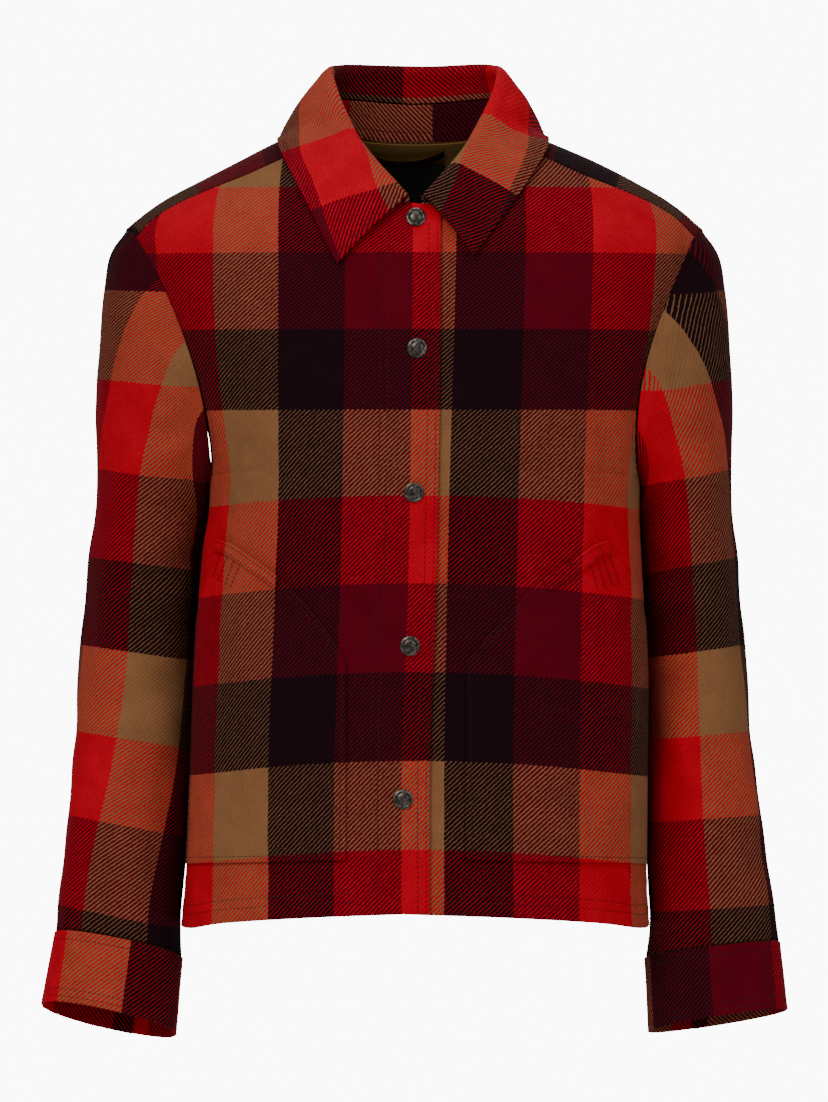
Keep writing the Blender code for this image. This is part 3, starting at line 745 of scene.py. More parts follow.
def back_grid() -> Grid:
    """Return the rows of points of the back, hem first, from the right side to the left."""
    hem = column_track(HEM_BACK, 1, key_scale=1.0)
    halves = {}
    for side in (RIGHT, LEFT):
        rows = []
        for step in range(BODY_ROWS_BELOW + 1):
            row = []
            for column in range(BACK_HALF_COLUMNS + 1):
                bottom = hem(column / BACK_HALF_COLUMNS)
                height = bottom + (UNDERARM_HEIGHT - bottom) * step / BODY_ROWS_BELOW
                row.append(level_line(height, side, BACK, 0.0, BACK_HALF_COLUMNS)[column])
            rows.append(row)
        columns = []
        for index, (base, (top, ridge_reach)) in enumerate(zip(rows[-1], back_top())):
            columns.append(back_column(side, base, index / BACK_HALF_COLUMNS, top, ridge_reach))
        for step in range(1, BODY_ROWS_ABOVE + 1):
            rows.append([column[step] for column in columns])
        halves[side] = rows
    return [right[:0:-1] + left for right, left in zip(halves[RIGHT], halves[LEFT])]


def drawn_back(rows: Grid, first_column: bool = False, last_column: bool = False) -> Grid:
    """Return rows whose top edge and side seam columns are drawn back from the seams.

    Args:
        rows: rows of a piece
        first_column: whether to draw its first column back
        last_column: whether to draw its last column back

    Returns:
        the drawn rows
    """
    drawn = [list(row) for row in rows]
    ends = zip(rows[-1], rows[-2])
    drawn[-1] = [top + (below - top).normalized() * SHOULDER_DRAW for top, below in ends]
    for row in drawn:
        if first_column:
            row[0] = row[0] + (row[1] - row[0]).normalized() * SEAM_DRAW
        if last_column:
            row[-1] = row[-1] + (row[-2] - row[-1]).normalized() * SEAM_DRAW
    return drawn


def ring_point(
    section: Sequence[float], side: int, angle: float, squareness: float, spread: float = 0.0
) -> Vector:
    """Return a point of a sleeve or cuff ring; 0 degrees is outside, 90 the front.

    Args:
        section: a row of a ring table
        side: right or left
        angle: degrees round the ring
        squareness: power of the rounded oblong
        spread: extra distance out

    Returns:
        the point
    """
    outer, outer_height, inner, inner_height, middle, half_depth, tilt = (v * MM for v in section)
    across, along = math.cos(math.radians(angle)), math.sin(math.radians(angle))
    power = 2.0 / squareness
    out_share = math.copysign(abs(across) ** power, across)
    front_share = math.copysign(abs(along) ** power, along)
    reach = 0.5 * (outer + inner) + (0.5 * (outer - inner) + spread) * out_share
    height = 0.5 * (outer_height + inner_height) + 0.5 * (outer_height - inner_height) * out_share
    depth = middle - (half_depth + spread) * front_share
    return Vector((side * reach, depth, height - tilt * front_share))


def armhole_loop(side: int) -> list[Vector]:
    """Return the closed armhole line: shoulder, front, underarm and back.

    Args:
        side: right or left

    Returns:
        the loop
    """
    front = [row[-1] for row in front_grid(side)][BODY_ROWS_BELOW:]
    half = {RIGHT: 0, LEFT: -1}[side]
    back = [row[half] for row in back_grid()][BODY_ROWS_BELOW:]
    loop = list(reversed(front)) + back[1:]
    spaced = resample(loop, SLEEVE_AROUND)
    top = min(range(SLEEVE_AROUND), key=lambda i: -spaced[i].z)
    ring = spaced[:-1]
    return ring[top:] + ring[:top]


def sleeve_grid(side: int) -> Grid:
    """Return the rings of a sleeve, from the armhole to the cuff seam.

    Args:
        side: right or left

    Returns:
        the rings
    """
    loop = armhole_loop(side)
    sections = SLEEVE_RINGS[side]
    angles = [360.0 * i / SLEEVE_AROUND for i in range(SLEEVE_AROUND)]
    first_ring = [ring_point(sections[0], side, a, SLEEVE_SQUARENESS) for a in angles]
    second_ring = [ring_point(sections[1], side, a, SLEEVE_SQUARENESS) for a in angles]
    rings = []
    for row in range(SLEEVE_CAP_ROWS + 1):
        t = row / SLEEVE_CAP_ROWS
        ring = []
        for i, angle in enumerate(angles):
            under = 0.5 - 0.5 * math.cos(math.radians(angle))
            away = Vector((side * (0.90 - 0.15 * under), 0.0, -0.44 - 0.2 * under)).normalized()
            off_form = form_excess(loop[i])[1] * UNDERARM_STEP * under ** 1.5
            start = loop[i] + Vector((side * SEAM_GAP, 0.0, 0.0)) + off_form
            leave = away * CAP_REACH * (1.0 - 0.62 * under)
            arrive = (second_ring[i] - first_ring[i]) * (1.6 - 0.9 * under)
            h00, h10 = (1 + 2 * t) * (1 - t) ** 2, t * (1 - t) ** 2
            h01, h11 = t * t * (3 - 2 * t), t * t * (t - 1)
            ring.append(start * h00 + leave * h10 + first_ring[i] * h01 + arrive * h11)
        rings.append(ring)
    stations = [0.0]
    for before, after in zip(sections, sections[1:]):
        stations.append(stations[-1] + before[1] - after[1])
    columns = [track(stations, [row[i] for row in sections]) for i in range(7)]
    for row in range(1, SLEEVE_TUBE_ROWS + 1):
        at = stations[-1] * row / SLEEVE_TUBE_ROWS
        section = [column(at) for column in columns]
        rings.append([ring_point(section, side, a, SLEEVE_SQUARENESS) for a in angles])
    return [ring + [ring[0]] for ring in rings]


def cuff_grid(side: int) -> Grid:
    """Return the rows of a cuff band, top first, from its inner end to its lapped end.

    Args:
        side: right or left

    Returns:
        the rows
    """
    turn = 360.0 + CUFF_LAP
    rows = []
    for row in range(CUFF_ROWS + 1):
        share = row / CUFF_ROWS
        top, bottom = CUFF_RINGS[side]
        section = [a + (b - a) * share for a, b in zip(top, bottom)]
        line = []
        for step in range(CUFF_AROUND + 1):
            turned = turn * step / CUFF_AROUND
            lap = min(max((turned - CUFF_LIFT_START) / CUFF_LIFT_RUN, 0.0), 1.0)
            spread = (WALL + LAY_GAP) * lap * lap * (3 - 2 * lap)
            line.append(ring_point(section, side, CUFF_LAP_START + turned, SLEEVE_SQUARENESS, spread))
        rows.append(line)
    return rows


def collar_line(name: str, side: int, share: float) -> Vector:
    """Return a point of one of the collar's lines at a share from the back to a front end.

    Args:
        name: neck, seam, roll or edge
        side: right or left
        share: share from back to front end

    Returns:
        the point
    """
    table = COLLAR_EDGE[side] if name == "edge" else COLLAR_LINES[name]
    stations = (-COLLAR_STATIONS[1],) + COLLAR_STATIONS
    mirrored = (-table[1][0], table[1][1], table[1][2])
    rows = (mirrored,) + table
    reach, depth, height = (track(stations, [row[i] * MM for row in rows])(share) for i in range(3))
    return Vector((side * reach, depth, height))


def leaf_section(side: int, share: float) -> list[Vector]:
    """Return one cross-section of the collar leaf, from its inner seam to its outer edge.

    Args:
        side: right or left
        share: share from back to front end

    Returns:
        the points
    """
    seam, roll, edge = (collar_line(name, side, share) for name in ("seam", "roll", "edge"))
    before = collar_line("roll", side, max(share - 0.02, 0.0))
    after = collar_line("roll", side, min(share + 0.02, 1.0))
    rise = (roll - seam).normalized()
    outward = rise.cross(after - before).normalized()
    if outward.dot(Vector((roll.x, roll.y - NECK_MIDDLE_DEPTH, 0.0))) < 0.0:
        outward = -outward
    start = seam + rise * LEAF_SEAM_GAP
    inner = roll - rise * ROLL_RADIUS
    shoulder = inner + outward * 2.0 * ROLL_RADIUS
    points = [start, start.lerp(inner, 0.5), inner, roll + outward * ROLL_RADIUS, shoulder]
    for step in range(1, COLLAR_FALL_ROWS + 1):
        t = step / COLLAR_FALL_ROWS
        points.append(shoulder.lerp(edge, t) + outward * FALL_CROWN * math.sin(math.pi * t))
    for index in range(4, len(points)):
        for _ in range(3):
            excess, away = form_excess(points[index])
            if points[index].z < FALL_REST_HEIGHT and excess < FALL_CLEARANCE:
                points[index] = points[index] + away * (FALL_CLEARANCE - excess)
    return points


def collar_grid(section: Callable[[int, float], list[Vector]]) -> Grid:
    """Return a collar piece's rows, from the right front end round to the left one.

    Args:
        section: the function of one cross-section

    Returns:
        the rows
    """
    half = COLLAR_HALF_COLUMNS
    return [section(LEFT if i > 0 else RIGHT, abs(i) / half) for i in range(-half, half + 1)]


def stand_section(side: int, share: float) -> list[Vector]:
    """Return one cross-section of the collar stand, from the neck seam upward.

    Args:
        side: right or left
        share: share from back to front end

    Returns:
        the points
    """
    along = share * STAND_END
    neck, seam = collar_line("neck", side, along), collar_line("seam", side, along)
    return [neck.lerp(seam, step / STAND_ROWS) for step in range(STAND_ROWS + 1)]


def pocket_grid(side: int, lift: float) -> Grid:
    """Return the rows of a pocket patch laid on the front, foot first, inner edge first.

    Args:
        side: right or left
        lift: distance off the form

    Returns:
        the rows
    """
    foot = column_track(POCKET_FOOT, 1, key_scale=1.0)
    mouth = column_track(POCKET_MOUTH[side], 1, key_scale=1.0)
    rows = []
    for row in range(POCKET_ROWS + 1):
        rise = row / POCKET_ROWS
        line = []
        for column in range(POCKET_COLUMNS + 1):
            share = column / POCKET_COLUMNS
            height = foot(share) + (mouth(share) - foot(share)) * rise
            line.append(pocket_point(side, share, height, lift))
        rows.append(line)
    return rows


def pocket_point(side: int, share: float, height: float, lift: float) -> Vector:
    """Return a point of the pocket's patch at a share across and a height.

    Args:
        side: right or left
        share: share across
        height: level
        lift: distance off the form

    Returns:
        the point
    """
    power = SQUARENESS(height)
    half = HALF_WIDTH[side](height)
    start = math.asin((POCKET_INNER[side] / half) ** (power / 2.0))
    side_end = math.radians(POCKET_SIDE_ANGLE)
    top_reach = POCKET_TOP_REACH[side]
    top_end = math.asin((top_reach / half) ** (power / 2.0))
    narrowing = min(max((height - POCKET_NARROW_HEIGHT) / POCKET_NARROW_RUN, 0.0), 1.0)
    end = side_end + (top_end - side_end) * narrowing
    angle = start + (end - start) * share
    x = side * half * math.sin(angle) ** (2.0 / power)
    return moved_out(Vector((x, depth_at(x, height, FRONT), height)), lift)


def band_grid(side: int, lift: float) -> Grid:
    """Return the rows of the folded band along a pocket's mouth.

    Args:
        side: right or left
        lift: distance off the form

    Returns:
        the rows
    """
    mouth = column_track(POCKET_MOUTH[side], 1, key_scale=1.0)
    rows = []
    for across in (1.0, 0.5, 0.0):
        line = []
        for step in range(BAND_COLUMNS + 1):
            share = BAND_START + (1.0 - BAND_START) * step / BAND_COLUMNS
            line.append(pocket_point(side, share, mouth(share) - BAND_WIDTH * across, lift))
        rows.append(line)
    return rows


def back_patch(
    middle: float, half_width: float, top: float, height: float, depth_in: float, columns: int,
    rows: int
) -> Grid:
    """Return the rows of a patch that hangs inside the back, foot first.

    Args:
        middle: place across of its middle
        half_width: half its width
        top: level of its top
        height: its height
        depth_in: distance inside the back
        columns: steps across
        rows: steps up

    Returns:
        the rows
    """
    grid = []
    for row in range(rows + 1):
        level = top - height * (1.0 - row / rows)
        line = []
        for column in range(columns + 1):
            x = middle + half_width * (2.0 * column / columns - 1.0)
            line.append(moved_out(Vector((x, depth_at(x, level, BACK), level)), -depth_in))
        grid.append(line)
    return grid


def lining_grid(rows: Grid) -> Grid:
    """Return the rows of the lining at the back neck: points of the back, moved in.

    Args:
        rows: rows of the back

    Returns:
        the rows of the lining
    """
    middle = len(rows[0]) // 2
    first, last = middle - LINING_HALF_COLUMNS, middle + LINING_HALF_COLUMNS
    patch = [row[first:last + 1] for row in rows[-LINING_ROWS:]]
    return [[moved_out(point, -LINING_DEPTH) for point in row] for row in patch]


def loop_grid() -> Grid:
    """Return the rows of the hanger loop, lower edge first."""
    rows = []
    for edge in (-0.5, 0.5):
        line = []
        for step in range(LOOP_STEPS + 1):
            t = 2.0 * step / LOOP_STEPS - 1.0
            x = LOOP_MIDDLE + LOOP_HALF * t
            height = LOOP_HEIGHT - LOOP_SAG * (1.0 - t * t) + edge * LOOP_WIDTH
            stand_off = LOOP_DEPTH + LOOP_BOW * (1.0 - t * t)
            line.append(moved_out(Vector((x, depth_at(x, height, BACK), height)), -stand_off))
        rows.append(line)
    return rows


# Check: the places of its rows and columns, in millimetres
COLUMN_WIDTH = 53.6 * MM
ROW_WIDTH = 70.5 * MM
CROSS_BAND = 71.0 * MM
BODY_CHECK_ROWS = (
    # height, row
    (-698, 10),
    (-628, 9),
    (-557.6, 8),
    (-487.2, 7),
    (-416.8, 6),
    (-346.4, 5),
    (-276.8, 4),
    (-208.8, 3),
    (-144.8, 2),
    (-84, 1),
    (-32, 0),
    (34, -1),
    (104, -2),
)
CHECK_SAG = 11.5 * MM
CHECK_SAG_REACH = 170.0 * MM
CHECK_SAG_TOP = -210.0 * MM
CHECK_SAG_RUN = 100.0 * MM
RIGHT_EDGE_STRIP = 22.4 * MM
LEFT_FIRST_BOUNDARY = (
    # height, distance out of the tan and black boundary
    (-620, 23.2),
    (-521, 23.2),
    (-318, 26.4),
    (-80, 32.8),
    (-30, 33.5),
)
LEFT_COLUMN_WIDTH = 55.0 * MM
BACK_COLUMN_START = 4.4
BACK_ROW_SHIFT = 2.0
SLEEVE_CHECK_ROWS = (
    # height on the outer side, row
    (-744, 8),
    (-674, 7),
    (-604, 6),
    (-532, 5),
    (-464.8, 4),
    (-396, 3),
    (-325.6, 2),
    (-255.2, 1),
    (-183.6, 0),
    (-112.4, -1),
    (-42, -2),
)
SLEEVE_CHECK_SLOPE = {
    # height, drop of a row for each length towards the body
    RIGHT: ((-700, 0.2), (-604, 0.2), (-464, 0.15), (-285, 0.12), (-185, 0.1), (-70, 0.04)),
    LEFT: ((-700, 0.06), (-604, 0.06), (-465, 0.09), (-400, 0.14), (-330, 0.19), (-70, 0.17)),
}
SLEEVE_CHECK_COLUMN = {
    # height, column at the middle of the sleeve's front
    RIGHT: ((-700, 0.6), (-604, 0.58), (-464, 0.26), (-400, 0.18), (-292, 0.22), (-113, 0.35)),
    LEFT: ((-700, 0), (-608, 0), (-326, -0.05), (-257, -0.045), (-186, 0), (-130, 0.15)),
}
SLEEVE_FILL_ROWS = (
    # height, swell of the sleeve towards the body
    (-330, 0),
    (-300, 1.5),
    (-275, 7),
    (-245, 4),
    (-210, 2.5),
    (-185, 0),
)
SEAM_ROW = 2.08  # row of the back's check at the forward shoulder seam
STAND_FOOT = 3.0 * MM  # how far the stand's foot goes down behind the neck seam
CUFF_CHECK = {
    # column at the middle of the front, row at the top
    RIGHT: (0.82, 0.1),
    LEFT: (2.05, 1.1),
}

BODY_CHECK_ROW = column_track(BODY_CHECK_ROWS, 1, scale=1.0)
LEFT_BOUNDARY = column_track(tuple(LEFT_FIRST_BOUNDARY), 1)
SLEEVE_CHECK_ROW = column_track(SLEEVE_CHECK_ROWS, 1, scale=1.0)
SLEEVE_FILL = np.vectorize(column_track(SLEEVE_FILL_ROWS, 1))


def body_check(point: Sequence[float], facing: int) -> tuple[float, float]:
    """Return the check's place on the body, counted in columns and rows.

    Args:
        point: a point of the body
        facing: front or back

    Returns:
        the column, rising to the right of a face, and the row, rising downwards
    """
    x, height = float(point[0]), float(point[2])
    side = LEFT if x > 0 else RIGHT
    drop = min(max((CHECK_SAG_TOP - height) / CHECK_SAG_RUN, 0.0), 1.0)
    sag = CHECK_SAG * (abs(x) / CHECK_SAG_REACH) ** 2 * drop * drop * (3 - 2 * drop)
    row = BODY_CHECK_ROW(height + sag)
    form_height = min(height, 25.0 * MM)
    along = side * length_out(min(abs(x), HALF_WIDTH[side](form_height)), form_height, side, facing)
    if facing == BACK:
        return BACK_COLUMN_START - along / COLUMN_WIDTH, row + BACK_ROW_SHIFT
    return along, row


def front_check(side: int) -> Callable[[np.ndarray], tuple[float, float]]:
    """Return the function that gives the check's place on one front and its pocket.

    Args:
        side: right or left

    Returns:
        the function of a point
    """
    def place(point: np.ndarray) -> tuple[float, float]:
        """Return the column and row at a point."""
        along, row = body_check(point, FRONT)
        height = float(point[2])
        if side == RIGHT:
            from_edge = length_out(EDGE_PAST(height), height, LEFT, FRONT) - along
            return 3.0 + (RIGHT_EDGE_STRIP - from_edge) / COLUMN_WIDTH, row
        start = length_out(LEFT_BOUNDARY(height), height, LEFT, FRONT)
        return 1.0 + (along - start) / LEFT_COLUMN_WIDTH, row

    return place


def smooth_through(points: np.ndarray, times: int, closed: bool = False) -> np.ndarray:
    """Return points refined along their first axis by a smooth curve through them.

    Args:
        points: an array of points
        times: steps for each step of the points
        closed: whether the first and last points are the same

    Returns:
        the refined points
    """
    steps = np.diff(points, axis=0)
    gaps = np.maximum(np.linalg.norm(steps, axis=-1, keepdims=True), 1e-7)
    slopes = steps / gaps
    inner = (slopes[:-1] * gaps[1:] + slopes[1:] * gaps[:-1]) / (gaps[:-1] + gaps[1:])
    first, last = slopes[:1], slopes[-1:]
    if closed:
        first = last = (last * gaps[:1] + first * gaps[-1:]) / (gaps[:1] + gaps[-1:])
    tangents = np.concatenate((first, inner, last))
    parts = []
    for t in (step / times for step in range(times)):
        start = points[:-1] * (1 + 2 * t) * (1 - t) ** 2 + points[1:] * t * t * (3 - 2 * t)
        parts.append(start + gaps * (tangents[:-1] * t * (1 - t) ** 2 - tangents[1:] * t * t * (1 - t)))
    fine = np.stack(parts, axis=1).reshape((-1,) + points.shape[1:])
    return np.concatenate((fine, points[-1:]))


@dataclass
class Surface:
    """A cloth piece's middle surface: a grid of points, whose outer face looks away from a centre."""

    points: np.ndarray
    closed: bool = False
    centre: np.ndarray = field(default_factory=lambda: np.zeros(3))

    @classmethod
    def through(cls, grid: Grid, row_times: int, column_times: int, closed: bool = False) -> "Surface":
        """Return a smooth surface through a grid of points.

        Args:
            grid: rows of points
            row_times: steps for each row
            column_times: steps for each column
            closed: whether the rows are closed

        Returns:
            the surface
        """
        rough = np.array([[tuple(point) for point in row] for row in grid])
        by_row = smooth_through(rough, row_times)
        fine = smooth_through(by_row.swapaxes(0, 1), column_times, closed).swapaxes(0, 1)
        centre = np.zeros(3)
        if closed:
            centre = fine[:, :-1].mean(axis=1, keepdims=True)
        return cls(np.ascontiguousarray(fine), closed, centre)

    @property
    def turned(self) -> bool:
        """Return whether the grid's own normals look inwards."""
        return float((self._crossed() * self._away()).sum()) < 0.0

    def _away(self) -> np.ndarray:
        """Return the level direction away from the centre at each point."""
        away = self.points - self.centre
        away[..., 2] = 0.0
        return away

    def _crossed(self) -> np.ndarray:
        """Return the cross product of the column and row steps at each point."""
        by_column = np.gradient(self.points, axis=1)
        if self.closed:
            ends = self.points[:, 1] - self.points[:, -2]
            by_column[:, 0] = by_column[:, -1] = 0.5 * ends
        return np.cross(by_column, np.gradient(self.points, axis=0))

    def outward(self) -> np.ndarray:
        """Return the outward normal at each point."""
        crossed = self._crossed() * (-1.0 if self.turned else 1.0)
        return crossed / np.maximum(np.linalg.norm(crossed, axis=-1, keepdims=True), 1e-12)

    def lengths(self, axis: int) -> np.ndarray:
        """Return the length from the first point along the rows or the columns."""
        steps = np.linalg.norm(np.diff(self.points, axis=axis), axis=-1)
        pad = ((1, 0), (0, 0)) if axis == 0 else ((0, 0), (1, 0))
        return np.pad(np.cumsum(steps, axis=axis), pad)

    def lifted(self, rise: np.ndarray) -> None:
        """Move each point outwards by a rise, the same at a closed row's two ends."""
        if self.closed:
            rise[:, -1] = rise[:, 0]
        self.points = self.points + self.outward() * rise[..., None]

    def area(self) -> float:
        """Return the surface's area."""
        return float(np.linalg.norm(self._crossed(), axis=-1)[:-1, :-1].sum())

    def line(self, edge: Edge, inset: float, start: float = 0.0, end: float = 1.0) -> Line:
        """Return the line that runs at a distance inside an edge.

        Args:
            edge: the edge that the line follows
            inset: the distance inside the edge
            start: share of the edge where the line starts
            end: share of the edge where it ends

        Returns:
            its points and the outward normals there
        """
        along_columns = edge in (Edge.FOOT, Edge.TOP)
        lengths = self.lengths(0 if along_columns else 1)
        points, normals = self.points, self.outward()
        if along_columns:
            lengths, points, normals = lengths.T, points.swapaxes(0, 1), normals.swapaxes(0, 1)
        if edge in (Edge.LAST_COLUMN, Edge.TOP):
            lengths = (lengths[:, -1:] - lengths)[:, ::-1]
            points, normals = points[:, ::-1], normals[:, ::-1]
        count = len(points)
        chosen = range(round(start * (count - 1)), round(end * (count - 1)) + 1)
        axes = range(3)
        points, normals = (
            np.array([[np.interp(inset, lengths[i], source[i, :, axis]) for axis in axes] for i in chosen])
            for source in (points, normals)
        )
        return points, normals


@dataclass(frozen=True)
class Crease:
    """A soft ridge or trough between two places, in millimetres."""

    from_across: float
    from_up: float
    to_across: float
    to_up: float
    width: float
    rise: float

    def swell(self, across: np.ndarray, up: np.ndarray) -> np.ndarray:
        """Return the crease's rise at each place.

        Args:
            across: places across
            up: places up

        Returns:
            the rise in metres
        """
        first = np.array((self.from_across, self.from_up)) * MM
        last = np.array((self.to_across, self.to_up)) * MM
        run = last - first
        length = float(np.hypot(*run))
        along = ((across - first[0]) * run[0] + (up - first[1]) * run[1]) / length ** 2
        aside = ((across - first[0]) * run[1] - (up - first[1]) * run[0]) / length
        bend = 0.25 * self.width * MM * np.sin(5.0 * along + self.from_across)
        inside = np.clip(along, 0.0, 1.0)
        fade = np.sin(np.pi * inside) ** 0.7 * (np.abs(along - 0.5) <= 0.5)
        return self.rise * MM * fade * np.exp(-(((aside - bend) / (self.width * MM)) ** 2))


BODY_CREASES = {
    # places across and up of both ends, half width, rise, in millimetres
    FRONT: (
        (-146, -150, -158, -430, 13, -1.9), (-124, -190, -138, -400, 13, 1.5),
        (-98, -120, -112, -330, 15, -1.2), (-62, -330, -78, -612, 16, -1.5),
        (-112, -430, -104, -620, 14, 1.6), (-146, -470, -138, -622, 12, -1.4),
        (148, -160, 160, -420, 13, -1.8), (126, -200, 140, -390, 13, 1.4), (96, -130, 108, -340, 15, -1.1),
        (66, -300, 84, -612, 16, -1.6), (120, -440, 112, -620, 14, 1.5), (150, -480, 144, -620, 12, -1.3),
        (-168, -240, -120, -300, 9, -1.3), (170, -236, 128, -288, 9, -1.2),
    ),
    BACK: (
        (-140, -130, -152, -420, 14, -1.9), (-112, -160, -122, -440, 15, 1.5),
        (-52, -240, -60, -620, 17, -1.6), (-8, -260, 4, -620, 18, 1.2), (56, -230, 70, -620, 17, -1.7),
        (108, -170, 122, -450, 15, 1.4), (142, -130, 150, -430, 14, -1.8), (-120, -440, -112, -622, 14, 1.4),
        (124, -450, 116, -622, 14, 1.3), (-170, -236, -110, -290, 10, -1.2), (172, -230, 116, -300, 10, -1.3),
    ),
}
SLEEVE_CREASES = (
    # the same, across being round the sleeve from the middle of its front, outwards above zero
    (-70, -196, 30, -236, 9, -2.4), (-58, -226, 44, -262, 10, 1.8), (-72, -318, 22, -346, 8, -2.6),
    (-76, -346, 38, -366, 9, 2.2), (-70, -384, 16, -372, 8, -2.2), (-60, -420, 46, -452, 11, -1.6),
    (24, -180, 12, -330, 14, 1.6), (52, -260, 44, -470, 14, -1.7), (4, -440, 10, -600, 12, 1.6),
    (-26, -470, -20, -612, 11, -1.6), (38, -500, 34, -616, 10, -1.5), (-96, -330, -150, -352, 9, -2.2),
    (-100, -362, -156, -372, 9, 1.8), (96, -210, 104, -400, 15, -1.7), (126, -300, 122, -560, 14, 1.5),
    (-128, -420, -120, -600, 12, -1.6),
)
WAVE_SIZES = (
    # turns to the metre across and up, start, rise in millimetres
    (9, 4, 0.4, 0.50),
    (-7, 11, 2.1, 0.42),
    (15, -6, 4, 0.30),
    (5, 19, 1.2, 0.26),
    (22, 13, 5.3, 0.16),
    (-26, 17, 3.3, 0.14),
)
PUCKER_RUN = 9.0 * MM
PUCKER_RISE = 0.34 * MM
PUCKER_TURNS = 84.0
SIDE_FADE = 0.03
ARM_FADE = 25.0 * MM
LEAST_SHEET = 10.5 * MM


def soft_waves(across: np.ndarray, up: np.ndarray) -> np.ndarray:
    """Return the cloth's slight unevenness at each place.

    Args:
        across: places across
        up: places up

    Returns:
        the rise in metres
    """
    total = np.zeros_like(across)
    for turns_across, turns_up, start, rise in WAVE_SIZES:
        total += rise * MM * np.sin(2.0 * np.pi * (turns_across * across + turns_up * up) + start)
    return total


def puckers(along: np.ndarray, distance: np.ndarray) -> np.ndarray:
    """Return the small ripples that sewing draws beside a seam."""
    uneven = np.sin(2.0 * np.pi * PUCKER_TURNS * along + 2.6 * np.sin(31.0 * along))
    return PUCKER_RISE * uneven * np.exp(-distance / PUCKER_RUN)


def body_relief(points: np.ndarray, facing: int) -> np.ndarray:
    """Return the rise of the creases and waves on the body, the same for all that lies on it.

    Args:
        points: points of the body
        facing: front or back

    Returns:
        the rise in metres
    """
    across, up = points[..., 0], points[..., 2]
    rise = soft_waves(across, up) * 0.8
    for crease in BODY_CREASES[facing]:
        rise = rise + Crease(*crease).swell(across, up)
    below_neck = np.clip((-60.0 * MM - up) / (70.0 * MM), 0.0, 1.0)
    beside_placket = np.clip((np.abs(across) - 22.0 * MM) / (36.0 * MM), 0.15, 1.0)
    if facing == BACK:
        beside_placket = 1.0
    return rise * below_neck * beside_placket


def seam_fade(points: np.ndarray, facing: int) -> np.ndarray:
    """Return how much of the body's relief is left near the side seams and the armholes.

    Args:
        points: points of the body
        facing: front or back

    Returns:
        a share from 0 at a seam to 1
    """
    arm = {FRONT: FRONT_ARM, BACK: BACK_ARM}[facing]
    fade = np.ones(points.shape[:-1])
    for place in np.ndindex(fade.shape):
        x, _, height = points[place]
        side = LEFT if x > 0 else RIGHT
        to_side = (1.0 - abs(x) / HALF_WIDTH[side](height)) / SIDE_FADE
        to_arm = (arm[side](height) - abs(x)) / ARM_FADE if height > UNDERARM_HEIGHT else 1.0
        fade[place] = min(max(min(to_side, to_arm), 0.0), 1.0)
    return fade * fade * (3 - 2 * fade)


class Bench:
    """Lays out the nodes of one material or node group."""

    def __init__(self, tree: NodeTree) -> None:
        """Keep the tree and count its nodes."""
        self.tree = tree
        self.count = 0

    def add(self, kind: str, inputs: dict | None = None, **settings: object) -> Node:
        """Add a node.

        Args:
            kind: the node's type, without its prefix
            inputs: a value or an output for each input, by name or number
            settings: the node's own properties

        Returns:
            the node
        """
        node = self.tree.nodes.new("ShaderNode" + kind)
        node.location = (200.0 * (self.count % 8), -260.0 * (self.count // 8))
        self.count += 1
        for key, value in settings.items():
            setattr(node, key, value)
        for key, value in (inputs or {}).items():
            if isinstance(value, NodeSocket):
                self.tree.links.new(value, node.inputs[key])
            else:
                node.inputs[key].default_value = value
        return node

    def join(self, value: NodeSocket, node: Node, label: str) -> None:
        """Join a value to a node's input."""
        self.tree.links.new(value, node.inputs[label])

    def hold(self, node: Node, values: dict[str, object]) -> None:
        """Set a node's inputs to values."""
        for label, value in values.items():
            node.inputs[label].default_value = value

    def sum(
        self, operation: str, first: object, second: object = 0.0, third: object = 0.0
    ) -> NodeSocket:
        """Add a sum of one to three values."""
        values = {0: first, 1: second, 2: third}
        return self.add("Math", values, operation=operation).outputs[0]

    def mix(self, share: object, first: object, second: object, blend: str = "MIX") -> NodeSocket:
        """Add a mix of two colours."""
        node = self.add("Mix", {0: share, 6: first, 7: second}, data_type="RGBA", blend_type=blend)
        return node.outputs[2]

    def smooth_step(self, value: object, low: float, high: float) -> NodeSocket:
        """Add a soft step from 0 at the low value to 1 at the high one."""
        inputs = {"Value": value, "From Min": low, "From Max": high}
        return self.add("MapRange", inputs, interpolation_type="SMOOTHSTEP").outputs[0]


class EffectGroup:
    """A node group that several materials place with their own values."""

    def __init__(
        self, name: str, inputs: Sequence[tuple[str, str, object]], outputs: Sequence[tuple[str, str]]
    ) -> None:
        """Make the group and its sockets.

        Args:
            name: the group's name
            inputs: name, kind and start value of each input
            outputs: name and kind of each output
        """
        self.tree = bpy.data.node_groups.new(name, "ShaderNodeTree")
        for label, kind, start in inputs:
            socket = self.tree.interface.new_socket(label, in_out="INPUT", socket_type="NodeSocket" + kind)
            if start is not None:
                socket.default_value = start
        for label, kind in outputs:
            self.tree.interface.new_socket(label, in_out="OUTPUT", socket_type="NodeSocket" + kind)
        self.start = self.tree.nodes.new("NodeGroupInput")
        self.end = self.tree.nodes.new("NodeGroupOutput")
        self.bench = Bench(self.tree)

    def put_out(self, label: str, value: NodeSocket) -> None:
        """Join a value to one of the group's outputs."""
        self.tree.links.new(value, self.end.inputs[label])


